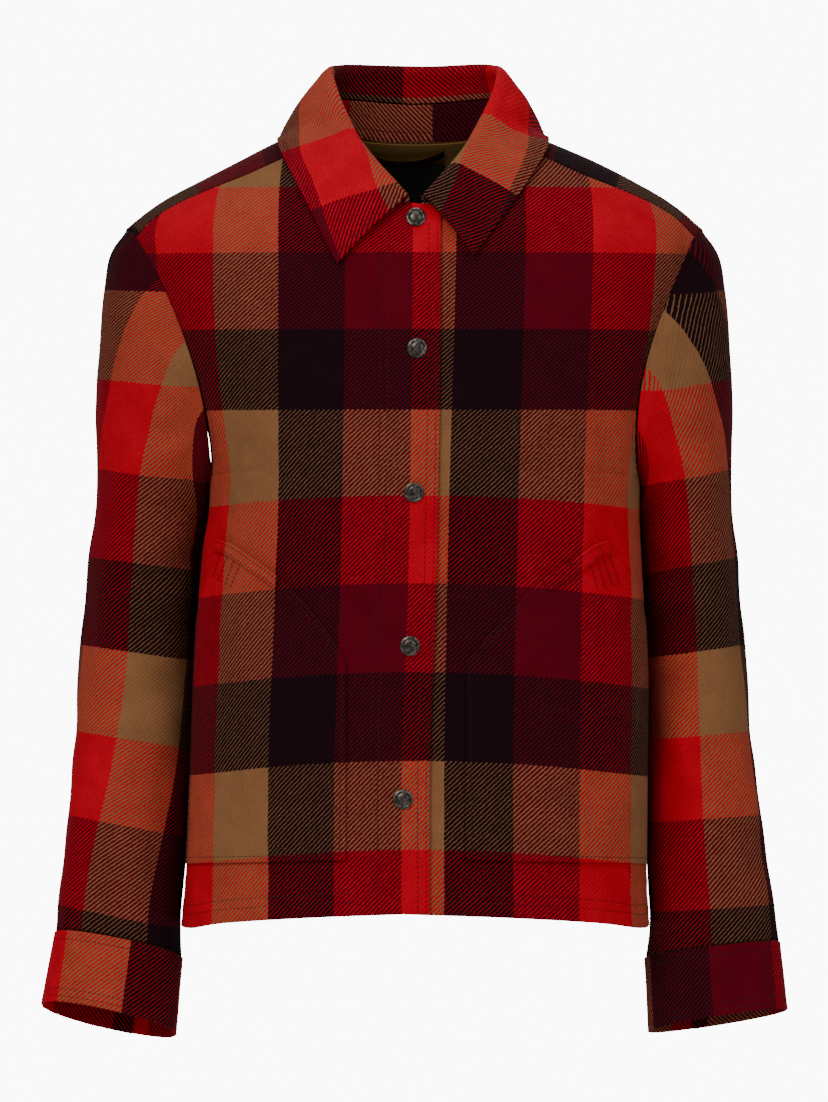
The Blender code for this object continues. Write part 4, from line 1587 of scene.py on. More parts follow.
def yarn_nap() -> NodeTree:
    """Return the group for the nap of a yarn: fine fibres and slow unevenness of tone."""
    inputs = (("Place", "Vector", None), ("Fineness", "Float", 1.0), ("Depth", "Float", 0.3))
    group = EffectGroup("yarn_nap", inputs, (("Tone", "Float"), ("Fibre", "Float")))
    bench, start = group.bench, group.start
    fine = bench.sum("MULTIPLY", start.outputs["Fineness"], 900.0)
    place = start.outputs["Place"]
    fibre, cloud = (
        bench.add("TexNoise", {"Vector": place, "Scale": scale, "Detail": detail, "Roughness": rough})
        for scale, detail, rough in ((fine, 3.0, 0.7), (46.0, 4.0, 0.6))
    )
    both = bench.sum("MULTIPLY_ADD", fibre.outputs[0], 0.62, bench.sum("MULTIPLY", cloud.outputs[0], 0.38))
    off = bench.sum("SUBTRACT", both, 0.5)
    deep = bench.sum("MULTIPLY", start.outputs["Depth"], 4.0)
    group.put_out("Tone", bench.sum("MULTIPLY_ADD", off, deep, 1.0))
    group.put_out("Fibre", fibre.outputs[0])
    return group.tree


def twill_ribs() -> NodeTree:
    """Return the group for the slanting ribs of a twill, from places counted on the cloth."""
    inputs = tuple((label, "Float", 0.0) for label in ("Across", "Down", "Spacing", "Stray"))
    group = EffectGroup("twill_ribs", inputs, (("Wave", "Float"), ("Rib", "Float")))
    bench, start = group.bench, group.start
    slant = bench.sum("ADD", start.outputs["Across"], start.outputs["Down"])
    turns = bench.sum("DIVIDE", slant, start.outputs["Spacing"])
    strayed = bench.sum("ADD", turns, start.outputs["Stray"])
    wave = bench.sum("SINE", bench.sum("MULTIPLY", strayed, 2.0 * math.pi))
    group.put_out("Wave", wave)
    group.put_out("Rib", bench.sum("MULTIPLY_ADD", wave, 0.5, 0.5))
    return group.tree


@dataclass(frozen=True)
class Yarn:
    """A yarn of the check."""

    colour: tuple[float, float, float]
    weight: float


RED = Yarn((0.52, 0.0006, 0.014), 0.0)
TAN = Yarn((0.25, 0.112, 0.046), 0.02)
WINE = Yarn((0.108, 0.0004, 0.0075), 0.30)
BLACK = Yarn((0.0115, 0.0020, 0.0045), 0.60)


@dataclass(frozen=True)
class CheckedWool:
    """Napped wool twill in a block check."""

    name: str
    warp: tuple[Yarn, ...] = (TAN, BLACK, WINE, RED)
    weft: tuple[Yarn, ...] = (RED, WINE, BLACK, TAN)
    rib_spacing: float = 3.9 * MM
    relief: float = 0.4 * MM
    roughness: float = 0.94
    sheen: float = 0.02

    @staticmethod
    def _picked(bench: Bench, place: NodeSocket, yarns: Sequence[Yarn]) -> tuple:
        """Return the colour and weight of the yarn at a counted place.

        Args:
            bench: the material's bench
            place: the counted column or row
            yarns: the yarns in order

        Returns:
            outputs of the colour and of the weight
        """
        count = len(yarns)
        share = bench.sum("DIVIDE", bench.sum("FLOORED_MODULO", place, float(count)), float(count))
        picked = []
        for weighted in (False, True):
            ramp = bench.add("ValToRGB", {0: share})
            band = ramp.color_ramp
            band.interpolation = "CONSTANT"
            while len(band.elements) < count:
                band.elements.new(1.0)
            for index, yarn in enumerate(yarns):
                band.elements[index].position = index / count
                tone = (yarn.weight,) * 3 if weighted else yarn.colour
                band.elements[index].color = (*tone, 1.0)
            picked.append(ramp.outputs[0])
        return picked[0], picked[1]

    def material(self, nap: NodeTree, ribs: NodeTree) -> Material:
        """Return the finish as a material.

        Args:
            nap: the group for the nap
            ribs: the group for the twill's ribs

        Returns:
            the material
        """
        made, shader, bench = new_material(self.name)
        places = bench.add("UVMap", uv_map="check").outputs[0]
        object_place = bench.add("TexCoord").outputs["Object"]
        fuzz = bench.add("TexNoise", {"Vector": object_place, "Scale": 420.0, "Detail": 2.0})
        shift = bench.sum("MULTIPLY_ADD", fuzz.outputs[0], 0.030, -0.015)
        split = bench.add("SeparateXYZ", {0: places})
        column, row = (bench.sum("ADD", split.outputs[axis], shift) for axis in (0, 1))
        warp, warp_weight = self._picked(bench, column, self.warp)
        weft, weft_weight = self._picked(bench, row, self.weft)
        rib = bench.add("Group", node_tree=ribs)
        for label, value in (
            ("Across", bench.sum("MULTIPLY", split.outputs[0], COLUMN_WIDTH)),
            ("Down", bench.sum("MULTIPLY", split.outputs[1], ROW_WIDTH)),
            ("Stray", bench.sum("MULTIPLY_ADD", fuzz.outputs[0], 0.5, -0.25)),
        ):
            bench.join(value, rib, label)
        rib.inputs["Spacing"].default_value = self.rib_spacing
        threshold = bench.sum("MULTIPLY", bench.sum("SUBTRACT", warp_weight, weft_weight), 1.4)
        raised = bench.sum("ADD", rib.outputs["Wave"], threshold)
        shown = bench.smooth_step(raised, 0.35, -0.35)
        yarn = bench.mix(shown, warp, weft)
        napped = bench.add("Group", {"Place": object_place, "Fineness": 1.0, "Depth": 0.34}, node_tree=nap)
        toned = bench.add("VectorMath", {0: yarn, 3: napped.outputs["Tone"]}, operation="SCALE")
        bench.join(toned.outputs[0], shader, "Base Color")
        height = bench.sum("MULTIPLY_ADD", napped.outputs["Fibre"], 1.1, rib.outputs["Rib"])
        bump = bench.add("Bump", {"Height": height, "Distance": self.relief, "Strength": 0.55})
        bench.join(bump.outputs[0], shader, "Normal")
        bench.hold(shader, {"Roughness": self.roughness, "Specular IOR Level": 0.08})
        bench.hold(shader, {
            "Sheen Weight": self.sheen, "Sheen Roughness": 0.5, "Sheen Tint": (1.0, 0.62, 0.5, 1.0),
        })
        return made


@dataclass(frozen=True)
class PlainCloth:
    """A plain woven or twisted cloth or thread."""

    name: str
    colour: tuple[float, float, float]
    rib_spacing: float
    roughness: float = 0.6
    depth: float = 0.15
    relief: float = 0.1 * MM

    def material(self, nap: NodeTree, ribs: NodeTree) -> Material:
        """Return the finish as a material.

        Args:
            nap: the group for the nap
            ribs: the group for the ribs

        Returns:
            the material
        """
        made, shader, bench = new_material(self.name)
        place = bench.add("TexCoord").outputs["Object"]
        split = bench.add("SeparateXYZ", {0: place})
        rib = bench.add("Group", {"Across": split.outputs[0], "Down": split.outputs[2]}, node_tree=ribs)
        rib.inputs["Spacing"].default_value = self.rib_spacing
        napped = bench.add("Group", {"Place": place, "Fineness": 1.4, "Depth": self.depth}, node_tree=nap)
        # painted shade: the colour is darker in the rib grooves and lighter on the rib crests, on top of the
        # bump
        rib_shade = bench.sum("MULTIPLY_ADD", rib.outputs["Rib"], 0.16, 0.9)
        tone = bench.sum("MULTIPLY", napped.outputs["Tone"], rib_shade)
        toned = bench.add("VectorMath", {0: self.colour, 3: tone}, operation="SCALE")
        bench.join(toned.outputs[0], shader, "Base Color")
        bump = bench.add("Bump", {"Height": rib.outputs["Rib"], "Distance": self.relief, "Strength": 0.4})
        bench.join(bump.outputs[0], shader, "Normal")
        bench.hold(shader, {"Roughness": self.roughness, "Specular IOR Level": 0.3})
        return made


@dataclass(frozen=True)
class AgedMetal:
    """Antique plated metal, paler where it is rubbed."""

    name: str = "snap_metal"
    dark: tuple[float, float, float] = (0.045, 0.04, 0.036)
    rubbed: tuple[float, float, float] = (0.20, 0.175, 0.15)
    roughness: float = 0.36

    def material(self) -> Material:
        """Return the finish as a material."""
        made, shader, bench = new_material(self.name)
        place = bench.add("TexCoord").outputs["Object"]
        spots = bench.add("TexNoise", {"Vector": place, "Scale": 380.0, "Detail": 5.0, "Roughness": 0.7})
        worn = bench.smooth_step(spots.outputs[0], 0.42, 0.68)
        colour = bench.mix(worn, (*self.dark, 1.0), (*self.rubbed, 1.0))
        bench.join(colour, shader, "Base Color")
        rough = bench.sum("MULTIPLY_ADD", spots.outputs[0], 0.3, self.roughness - 0.15)
        bench.join(rough, shader, "Roughness")
        bump = bench.add("Bump", {"Height": spots.outputs[0], "Distance": 0.06 * MM, "Strength": 0.4})
        bench.join(bump.outputs[0], shader, "Normal")
        shader.inputs["Metallic"].default_value = 1.0
        return made


def new_material(name: str) -> tuple[Material, Node, Bench]:
    """Make a material with a plain shader."""
    made = bpy.data.materials.new("finish_" + name)
    made.use_nodes = True
    return made, made.node_tree.nodes["Principled BSDF"], Bench(made.node_tree)


@dataclass
class Finishes:
    """The jacket's finishes, made once."""

    wool: Material
    lining: Material
    label: Material
    thread: Material
    metal: Material

    @classmethod
    def made(cls) -> "Finishes":
        """Return the finishes with their shared groups."""
        nap, ribs = yarn_nap(), twill_ribs()
        return cls(
            wool=CheckedWool("wool_check").material(nap, ribs),
            lining=PlainCloth("lining_cloth", (0.16, 0.085, 0.014), 1.1 * MM, 0.48).material(nap, ribs),
            label=PlainCloth("label_cloth", (0.0075, 0.0065, 0.007), 1.0 * MM, 0.55).material(nap, ribs),
            thread=PlainCloth("thread", (0.035, 0.003, 0.006), 0.5 * MM, 0.7).material(nap, ribs),
            metal=AgedMetal().material(),
        )


def edit_all(piece: Object) -> None:
    """Go into edit mode on one piece with all of it selected."""
    bpy.ops.object.select_all(action="DESELECT")
    piece.select_set(True)
    bpy.context.view_layer.objects.active = piece
    bpy.ops.object.mode_set(mode="EDIT")
    bpy.ops.mesh.select_all(action="SELECT")


def with_modifier(piece: Object, kind: str, **settings: object) -> None:
    """Give a piece a modifier and apply it.

    Args:
        piece: the piece
        kind: the modifier's type
        settings: the modifier's own properties
    """
    bpy.ops.object.select_all(action="DESELECT")
    piece.select_set(True)
    bpy.context.view_layer.objects.active = piece
    bpy.ops.object.modifier_add(type=kind)
    modifier = piece.modifiers[-1]
    for key, value in settings.items():
        setattr(modifier, key, value)
    bpy.ops.object.modifier_apply(modifier=modifier.name)


@dataclass
class ClothPiece:
    """One cut and sewn piece of cloth, with the check's column and row at each point."""

    name: str
    surface: Surface
    check: np.ndarray
    wall: float
    finish: Material
    inside: Material
    slot: str = "wool_check"
    held: str = "hung"
    rests_on: tuple[str, ...] = ()

    def make(self) -> Object:
        """Return the piece as a closed wall of cloth that stands for its node."""
        points = self.surface.points
        rows, columns = points.shape[:2]
        bpy.ops.object.select_all(action="DESELECT")
        bpy.ops.mesh.primitive_grid_add(
            x_subdivisions=columns - 1, y_subdivisions=rows - 1, size=2.0, calc_uvs=False
        )
        piece = bpy.context.object
        piece.name = piece.data.name = "cloth_" + self.name
        mesh = piece.data
        places = np.empty(len(mesh.vertices) * 3)
        mesh.vertices.foreach_get("co", places)
        places = places.reshape(-1, 3)
        column = np.rint((places[:, 0] + 1.0) / 2.0 * (columns - 1)).astype(int)
        row = np.rint((places[:, 1] + 1.0) / 2.0 * (rows - 1)).astype(int)
        mesh.vertices.foreach_set("co", points[row, column].ravel())
        corners = np.empty(len(mesh.loops), dtype=np.int32)
        mesh.loops.foreach_get("vertex_index", corners)
        layer = mesh.uv_layers.new(name="check")
        layer.data.foreach_set("uv", self.check[row[corners], column[corners]].ravel())
        mesh.materials.append(self.finish)
        mesh.materials.append(self.inside)
        edit_all(piece)
        if self.surface.closed:
            bpy.ops.mesh.remove_doubles(threshold=0.02 * MM)
        if self.surface.turned:
            bpy.ops.mesh.flip_normals()
        bpy.ops.object.mode_set(mode="OBJECT")
        with_modifier(piece, "SOLIDIFY", thickness=self.wall, offset=0.0, material_offset=1)
        edge = 0.3 * self.wall
        with_modifier(piece, "BEVEL", width=edge, segments=2, limit_method="ANGLE", angle_limit=1.1)
        bpy.ops.object.shade_smooth_by_angle(angle=1.2)
        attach(piece, "root")
        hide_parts(self.name)
        width = round(float(self.surface.lengths(1).max()) + 0.001, 3)
        length = max(round(float(self.surface.lengths(0).max()) + 0.001, 3), LEAST_SHEET)
        area = min(self.surface.area(), width * length)
        list(self.rests_on)
        log.info("%s: %.3f x %.3f m, %d faces", self.name, width, length, len(mesh.polygons))
        return piece


@dataclass
class Needlework:
    """Rows of stitches, each stitch a copy of one small rounded bar."""

    stitch_length: float = 3.0 * MM
    pitch: float = 3.9 * MM
    thread: float = 0.6 * MM

    def _bar(self) -> tuple[np.ndarray, list[tuple[int, ...]]]:
        """Return the vertices and faces of one stitch, which lies along X."""
        bpy.ops.object.select_all(action="DESELECT")
        turn = (0.0, math.pi / 2, 0.0)
        bpy.ops.mesh.primitive_uv_sphere_add(segments=6, ring_count=4, radius=0.5, rotation=turn)
        bpy.ops.object.transform_apply(location=False, rotation=True, scale=False)
        bar = bpy.context.object
        vertices = np.array([tuple(vertex.co) for vertex in bar.data.vertices])
        faces = [tuple(face.vertices) for face in bar.data.polygons]
        bpy.data.objects.remove(bar)
        return vertices * (self.stitch_length, self.thread, self.thread), faces

    def sew(
        self, name: str, lines: Sequence[Line], stand: float, finish: Material
    ) -> Object:
        """Sew stitches along lines.

        Args:
            name: the name of the stitching
            lines: lines on a surface
            stand: height of the stitches over the surface
            finish: what the thread is made of

        Returns:
            the stitches as one piece
        """
        bar, bar_faces = self._bar()
        vertices, faces = [], []
        for points, normals in lines:
            steps = np.linalg.norm(np.diff(points, axis=0), axis=1)
            lengths = np.concatenate(([0.0], np.cumsum(steps)))
            count = int(lengths[-1] / self.pitch)
            at = (np.arange(count) + 0.5) * self.pitch
            centre, ahead, up = (
                np.stack([np.interp(at + offset, lengths, source[:, axis]) for axis in range(3)], axis=1)
                for source, offset in ((points, 0.0), (points, 0.5 * self.pitch), (normals, 0.0))
            )
            along = ahead - centre
            along /= np.maximum(np.linalg.norm(along, axis=1, keepdims=True), 1e-9)
            aside = np.cross(up, along)
            aside /= np.maximum(np.linalg.norm(aside, axis=1, keepdims=True), 1e-9)
            up = np.cross(along, aside)
            for i in range(count):
                shift = len(vertices) * len(bar)
                placed = centre[i] + up[i] * stand
                vertices.append(placed + bar @ np.stack((along[i], aside[i], up[i])))
                faces.extend(tuple(corner + shift for corner in face) for face in bar_faces)
        mesh = bpy.data.meshes.new(name)
        mesh.from_pydata(np.concatenate(vertices).tolist(), [], faces)
        mesh.materials.append(finish)
        mesh.shade_smooth()
        piece = bpy.data.objects.new(name, mesh)
        bpy.context.scene.collection.objects.link(piece)
        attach(piece, "root")
        log.info("%s: %d stitches", name, len(vertices))
        return piece


def seen_line(piece: Object, places: Sequence[tuple[float, float]]) -> Line:
    """Return a line laid on a piece as it is seen from the front.

    Args:
        piece: the cloth that carries the line
        places: places across and up in millimetres, as corners of the line

    Returns:
        its points and the normals there
    """
    mesh = piece.data
    tree = BVHTree.FromPolygons([v.co for v in mesh.vertices], [tuple(p.vertices) for p in mesh.polygons])
    points, normals = [], []
    for (x0, z0), (x1, z1) in zip(places, places[1:]):
        steps = max(int(math.hypot(x1 - x0, z1 - z0) / 2.0), 1)
        for step in range(steps + 1):
            share = step / steps
            place = Vector(((x0 + (x1 - x0) * share) * MM, -1.0, (z0 + (z1 - z0) * share) * MM))
            hit, normal, _, _ = tree.ray_cast(place, Vector((0.0, 1.0, 0.0)))
            if hit is not None:
                points.append(tuple(hit))
                normals.append(tuple(normal))
    return np.array(points), np.array(normals)


def evenly_placed(surface: Surface, place: Callable[[np.ndarray], tuple[float, float]]) -> np.ndarray:
    """Return the check's column and row at each point of a surface.

    Args:
        surface: the surface
        place: the function of a point

    Returns:
        rows by columns of pairs
    """
    check = np.empty(surface.points.shape[:2] + (2,))
    for at in np.ndindex(check.shape[:2]):
        check[at] = place(surface.points[at])
    return check


@dataclass
class Maker:
    """Makes some of the jacket's pieces."""

    finishes: Finishes
    needle: Needlework
    stand: float = 0.98 * MM

    def sew(self, name: str, lines: Sequence[Line]) -> None:
        """Sew stitches along lines on a piece's outer face."""
        self.needle.sew("stitching_" + name, lines, self.stand, self.finishes.thread)


@dataclass
class Body(Maker):
    """The two fronts and the back."""

    row_times: int = 4
    column_times: int = 4
    edge_lines: tuple[float, ...] = (2.8 * MM, 9.6 * MM)
    placket_lines: tuple[float, ...] = (41.4 * MM, 47.4 * MM)
    hem_lines: tuple[float, ...] = (11.0 * MM, 18.2 * MM)
    armhole_line: float = 6.4 * MM
    top_start: float = 0.72
    ridge_start: float = 0.9

    def front(self, side: Side) -> Object:
        """Return one front with its stitching.

        Args:
            side: right or left

        Returns:
            the front
        """
        rows = front_grid(side)
        if side == LEFT:
            rows = sink_under_edge(rows)
        surface = Surface.through(drawn_back(rows, last_column=True), self.row_times, self.column_times)
        check = evenly_placed(surface, front_check(side))
        surface.lifted(body_relief(surface.points, FRONT) * seam_fade(surface.points, FRONT))
        self._pucker(surface)
        name = f"front_{side.word}"
        piece = ClothPiece(
            name, surface, check, WALL, self.finishes.wool, self.finishes.lining, rests_on=("back",)
        ).make()
        armhole_start = BODY_ROWS_BELOW / (BODY_ROWS_BELOW + BODY_ROWS_ABOVE) + 0.02
        lines = [surface.line(Edge.LAST_COLUMN, self.armhole_line, armhole_start)]
        if side == RIGHT:
            lines += [surface.line(Edge.FIRST_COLUMN, inset, 0.0, 0.97) for inset in self.edge_lines]
            lines += [surface.line(Edge.FIRST_COLUMN, inset, 0.0, 0.97) for inset in self.placket_lines]
        hem_start = 0.24 if side == RIGHT else 0.19
        lines += [surface.line(Edge.FOOT, inset, hem_start) for inset in self.hem_lines]
        self.sew(name, lines)
        return piece

    def back(self) -> Object:
        """Return the back with its stitching."""
        rows = drawn_back(back_grid(), first_column=True, last_column=True)
        surface = Surface.through(rows, self.row_times, self.column_times)
        over = np.arange(surface.points.shape[0])[:, None] / (surface.points.shape[0] - 1.0)
        check = evenly_placed(surface, lambda point: body_check(point, BACK))
        self._straighten_top(surface, check)
        relief = body_relief(surface.points, BACK) * seam_fade(surface.points, BACK)
        surface.lifted(relief * np.clip((0.97 - over) / 0.1, 0.0, 1.0))
        self._pucker(surface)
        piece = ClothPiece("back", surface, check, WALL, self.finishes.wool, self.finishes.lining).make()
        start = BODY_ROWS_BELOW / (BODY_ROWS_BELOW + BODY_ROWS_ABOVE) + 0.02
        sides = (Edge.FIRST_COLUMN, Edge.LAST_COLUMN)
        lines = [surface.line(edge, self.armhole_line, start) for edge in sides]
        lines += [surface.line(Edge.FOOT, inset) for inset in self.hem_lines]
        self.sew("back", lines)
        return piece

    def _straighten_top(self, surface: Surface, check: np.ndarray) -> None:
        """Count the back's top rows by length, so that one black row crosses the shoulders.

        Args:
            surface: the back
            check: its column and row at each point, changed in place
        """
        ups = surface.lengths(0)
        start, ridge = (int(share * (len(check) - 1)) for share in (self.top_start, self.ridge_start))
        check[start:, :, 1] = check[start, :, 1] - (ups[start:] - ups[start]) / ROW_WIDTH
        check[ridge:, :, 0] = check[ridge, :, 0]
        from_middle = np.abs(np.arange(check.shape[1]) - check.shape[1] // 2) / self.column_times
        on_shoulder = np.clip(0.5 * (from_middle - BACK_NECK_COLUMNS), 0.0, 1.0)
        missing = SEAM_ROW - check[-1, :, 1]
        shift = missing[on_shoulder == 1.0].mean()
        check[..., 1] += shift
        share = np.linspace(0.0, 1.0, len(check) - start)[:, None]
        check[start:, :, 1] += share * (missing - shift) * on_shoulder

    def _pucker(self, surface: Surface) -> None:
        """Draw small ripples beside the hem and the side edges."""
        across, up = surface.lengths(1), surface.lengths(0)
        rise = puckers(across, up) + puckers(up, across[:, -1:] - across)
        surface.lifted(rise)


@dataclass
class SleevePair(Maker):
    """The sleeves and their cuffs."""

    row_times: int = 5
    column_times: int = 5
    cuff_lines: tuple[float, ...] = (4.6 * MM, 10.4 * MM)
    cuff_top_line: float = 7.2 * MM

    def sleeve(self, side: Side) -> Object:
        """Return one sleeve.

        Args:
            side: right or left

        Returns:
            the sleeve
        """
        half = SLEEVE_AROUND // 2
        rings = [ring[half:-1] + ring[:half + 1] for ring in sleeve_grid(side)]
        surface = Surface.through(rings, self.row_times, self.column_times, closed=True)
        across, down = surface.lengths(1), surface.lengths(0)
        middle = surface.points.shape[1] * 0.75
        front_arc = across[:, round(middle):round(middle) + 1]
        outwards = front_arc - across
        points = surface.points
        height = points[..., 2]
        reach = np.abs(points[..., 0])
        slope = np.vectorize(column_track(sorted(SLEEVE_CHECK_SLOPE[side]), 1, scale=1.0))(height)
        level = height + slope * (reach.max(axis=1, keepdims=True) - reach)
        column = np.vectorize(column_track(sorted(SLEEVE_CHECK_COLUMN[side]), 1, scale=1.0))(level)
        column = column + side * outwards / COLUMN_WIDTH
        check = np.stack((column, np.vectorize(SLEEVE_CHECK_ROW)(level)), axis=-1)
        total = across[:, -1:]
        from_body = np.minimum(across, total - across)
        rise = soft_waves(outwards, height) * 1.1
        for crease in SLEEVE_CREASES:
            for turned in (outwards, outwards - total):
                rise = rise + Crease(*crease).swell(turned, height)
        fade = np.clip(from_body / (46.0 * MM), 0.18, 1.0)
        ends = (1.0 - np.exp(-down / (16.0 * MM))) * (1.0 - np.exp(-(down[-1:] - down) / (9.0 * MM)))
        gathers = puckers(across, down[-1:] - down) * 1.8 + puckers(across, down) * fade
        towards_body = np.exp(-((from_body / (38.0 * MM)) ** 2)) * SLEEVE_FILL(height)
        surface.lifted(rise * fade * ends + gathers + towards_body)
        name = f"sleeve_{side.word}"
        rests = (f"front_{side.word}", "back")
        return ClothPiece(
            name, surface, check, WALL, self.finishes.wool, self.finishes.lining, rests_on=rests
        ).make()

    def cuff(self, side: Side) -> Object:
        """Return one cuff with its stitching.

        Args:
            side: right or left

        Returns:
            the cuff
        """
        surface = Surface.through(cuff_grid(side), 5, 4)
        surface.centre = surface.points.mean(axis=1, keepdims=True)
        across, down = surface.lengths(1), surface.lengths(0)
        turn = 360.0 + CUFF_LAP
        front = round((450.0 - CUFF_LAP_START) / turn * (across.shape[1] - 1))
        middle_column, top_row = CUFF_CHECK[side]
        column = middle_column - side * (across - across[:, front:front + 1]) / COLUMN_WIDTH
        check = np.stack((column, top_row + down / ROW_WIDTH), axis=-1)
        rise = soft_waves(across, down) * 0.35 + puckers(across, down[-1:] - down)
        surface.lifted(rise)
        name = f"cuff_{side.word}"
        wool = self.finishes.wool
        piece = ClothPiece(name, surface, check, WALL, wool, wool, rests_on=(f"sleeve_{side.word}",)).make()
        lines = [surface.line(Edge.TOP, inset) for inset in self.cuff_lines]
        lines += [surface.line(Edge.FOOT, self.cuff_top_line), surface.line(Edge.LAST_COLUMN, 3.0 * MM)]
        self.sew(name, lines)
        return piece


@dataclass
class Collar(Maker):
    """The collar's stand and its folded leaf, whose check slants and narrows towards the tips."""

    edge_lines: tuple[float, ...] = (4.4 * MM, 6.4 * MM)
    half_length: float = 250.0 * MM
    back_boundary: float = -8.8 * MM
    slant: float = 0.4
    slant_start: float = 100.0 * MM
    tip_start: float = 150.0 * MM
    slant_run: float = 60.0 * MM
    tip_shift: float = 16.0 * MM
    narrowing: float = 0.2
    narrow_start: float = 135.0 * MM

    def leaf(self) -> Object:
        """Return the folded leaf with its stitching."""
        surface = Surface.through(collar_grid(leaf_section), 4, 5)
        across, along = surface.lengths(1), surface.lengths(0)
        roll = 15
        signed = along[:, roll] - along[len(along) // 2, roll]
        scale = self.half_length / signed[-1]
        out = np.abs(signed * scale)[:, None]
        tilted, moved = (
            np.clip((out - start) / self.slant_run, 0.0, 1.0) for start in (self.slant_start, self.tip_start)
        )
        shift = tilted * (self.slant * (across - across[:, -1:]) + self.tip_shift * moved)
        place = np.sign(signed)[:, None] * (out + shift)
        band = 2.0 - (place - self.back_boundary) / CROSS_BAND
        narrowing = self.narrowing * np.clip(out - self.narrow_start, 0.0, None)
        check = np.stack((4.08 - (across - narrowing) / COLUMN_WIDTH, band), axis=-1)
        rise = soft_waves(along, across) * 0.35 + puckers(along, across[:, -1:] - across) * 0.9
        surface.lifted(rise)
        wool = self.finishes.wool
        piece = ClothPiece(
            "collar_leaf", surface, check, WALL, wool, wool, held="folded", rests_on=("collar_stand",)
        ).make()
        lines = [surface.line(Edge.LAST_COLUMN, inset, 0.02, 0.98) for inset in self.edge_lines]
        ends = (Edge.FOOT, Edge.TOP)
        lines += [surface.line(edge, inset, 0.45, 0.97) for edge in ends for inset in self.edge_lines]
        self.sew("collar", lines)
        return piece

    def stand_band(self) -> Object:
        """Return the stand with its stitching."""
        surface = Surface.through(collar_grid(stand_section), 4, 6)
        across, along = surface.lengths(1), surface.lengths(0)
        middle = along.shape[1] // 2
        signed = along[:, middle:middle + 1] - along[len(along) // 2, middle]
        band = -1.0 - (signed - 14.4 * MM) / CROSS_BAND + 0.0 * across
        check = np.stack((2.85 - across / COLUMN_WIDTH, band), axis=-1)
        surface.points[..., 2] -= STAND_FOOT * np.clip(1.0 - across / (6.0 * MM), 0.0, 1.0)
        wool = self.finishes.wool
        piece = ClothPiece("collar_stand", surface, check, WALL, wool, wool, rests_on=("back",)).make()
        lines = [surface.line(Edge.FIRST_COLUMN, inset, 0.2, 0.8) for inset in (3.0 * MM, 9.0 * MM)]
        self.needle.sew("stitching_stand", lines, -self.stand, self.finishes.thread)
        return piece


@dataclass
class Pockets(Maker):
    """The patch pockets and the folded bands along their mouths."""

    edge_line: float = 4.8 * MM
    mouth_lines: tuple[float, ...] = (2.2 * MM, 7.2 * MM)
    tacks: dict[Side, tuple] = field(default_factory=lambda: {
        RIGHT: (
            ((-153, -319), (-161, -343)),
            ((-147.5, -321.5), (-157.5, -348)),
            ((-142, -324), (-152, -351)),
            ((-136.5, -326.5), (-147.5, -352.5)),
        ),
        LEFT: (
            ((137, -324.5), (145, -352)),
            ((142, -322.5), (151.5, -352)),
            ((147, -320), (158, -352)),
            ((151.5, -317.5), (164.5, -352)),
        ),
    })

    def _relief(self, surface: Surface) -> None:
        """Give a surface the relief of the front under it."""
        surface.lifted(body_relief(surface.points, FRONT) * seam_fade(surface.points, FRONT))

    def patch(self, side: Side) -> Object:
        """Return one pocket with its stitching.

        Args:
            side: right or left

        Returns:
            the pocket
        """
        lift = WALL / 2.0 + POCKET_GAP + POCKET_WALL / 2.0
        surface = Surface.through(pocket_grid(side, lift), 5, 5)
        check = evenly_placed(surface, front_check(side))
        self._relief(surface)
        name = f"pocket_{side.word}"
        wool = self.finishes.wool
        piece = ClothPiece(
            name, surface, check, POCKET_WALL, wool, wool, held="laid", rests_on=(f"front_{side.word}",)
        ).make()
        lines = [
            surface.line(Edge.FIRST_COLUMN, self.edge_line, 0.02, 0.97),
            surface.line(Edge.FOOT, self.edge_line, 0.02, 1.0),
        ]
        lines += [surface.line(Edge.TOP, inset, 0.03, BAND_START) for inset in self.mouth_lines]
        lines += [seen_line(piece, tack) for tack in self.tacks[side]]
        self.needle.sew("stitching_" + name, lines, 0.5 * POCKET_WALL, self.finishes.thread)
        return piece

    def band(self, side: Side) -> Object:
        """Return the band along one pocket's mouth with its stitching.

        Args:
            side: right or left

        Returns:
            the band
        """
        lift = WALL / 2.0 + POCKET_GAP + POCKET_WALL * 1.5 + LAY_GAP
        surface = Surface.through(band_grid(side, lift), 3, 6)
        check = evenly_placed(surface, front_check(side))
        self._relief(surface)
        name = f"pocket_band_{side.word}"
        wool = self.finishes.wool
        piece = ClothPiece(
            name, surface, check, POCKET_WALL, wool, wool, held="folded", rests_on=(f"pocket_{side.word}",)
        ).make()
        lines = [surface.line(edge, 1.9 * MM) for edge in (Edge.FOOT, Edge.TOP)]
        lines += [surface.line(Edge.LAST_COLUMN, inset, 0.2, 0.8) for inset in (2.0 * MM, 12.0 * MM)]
        self.needle.sew("stitching_" + name, lines, 0.5 * POCKET_WALL, self.finishes.thread)
        return piece


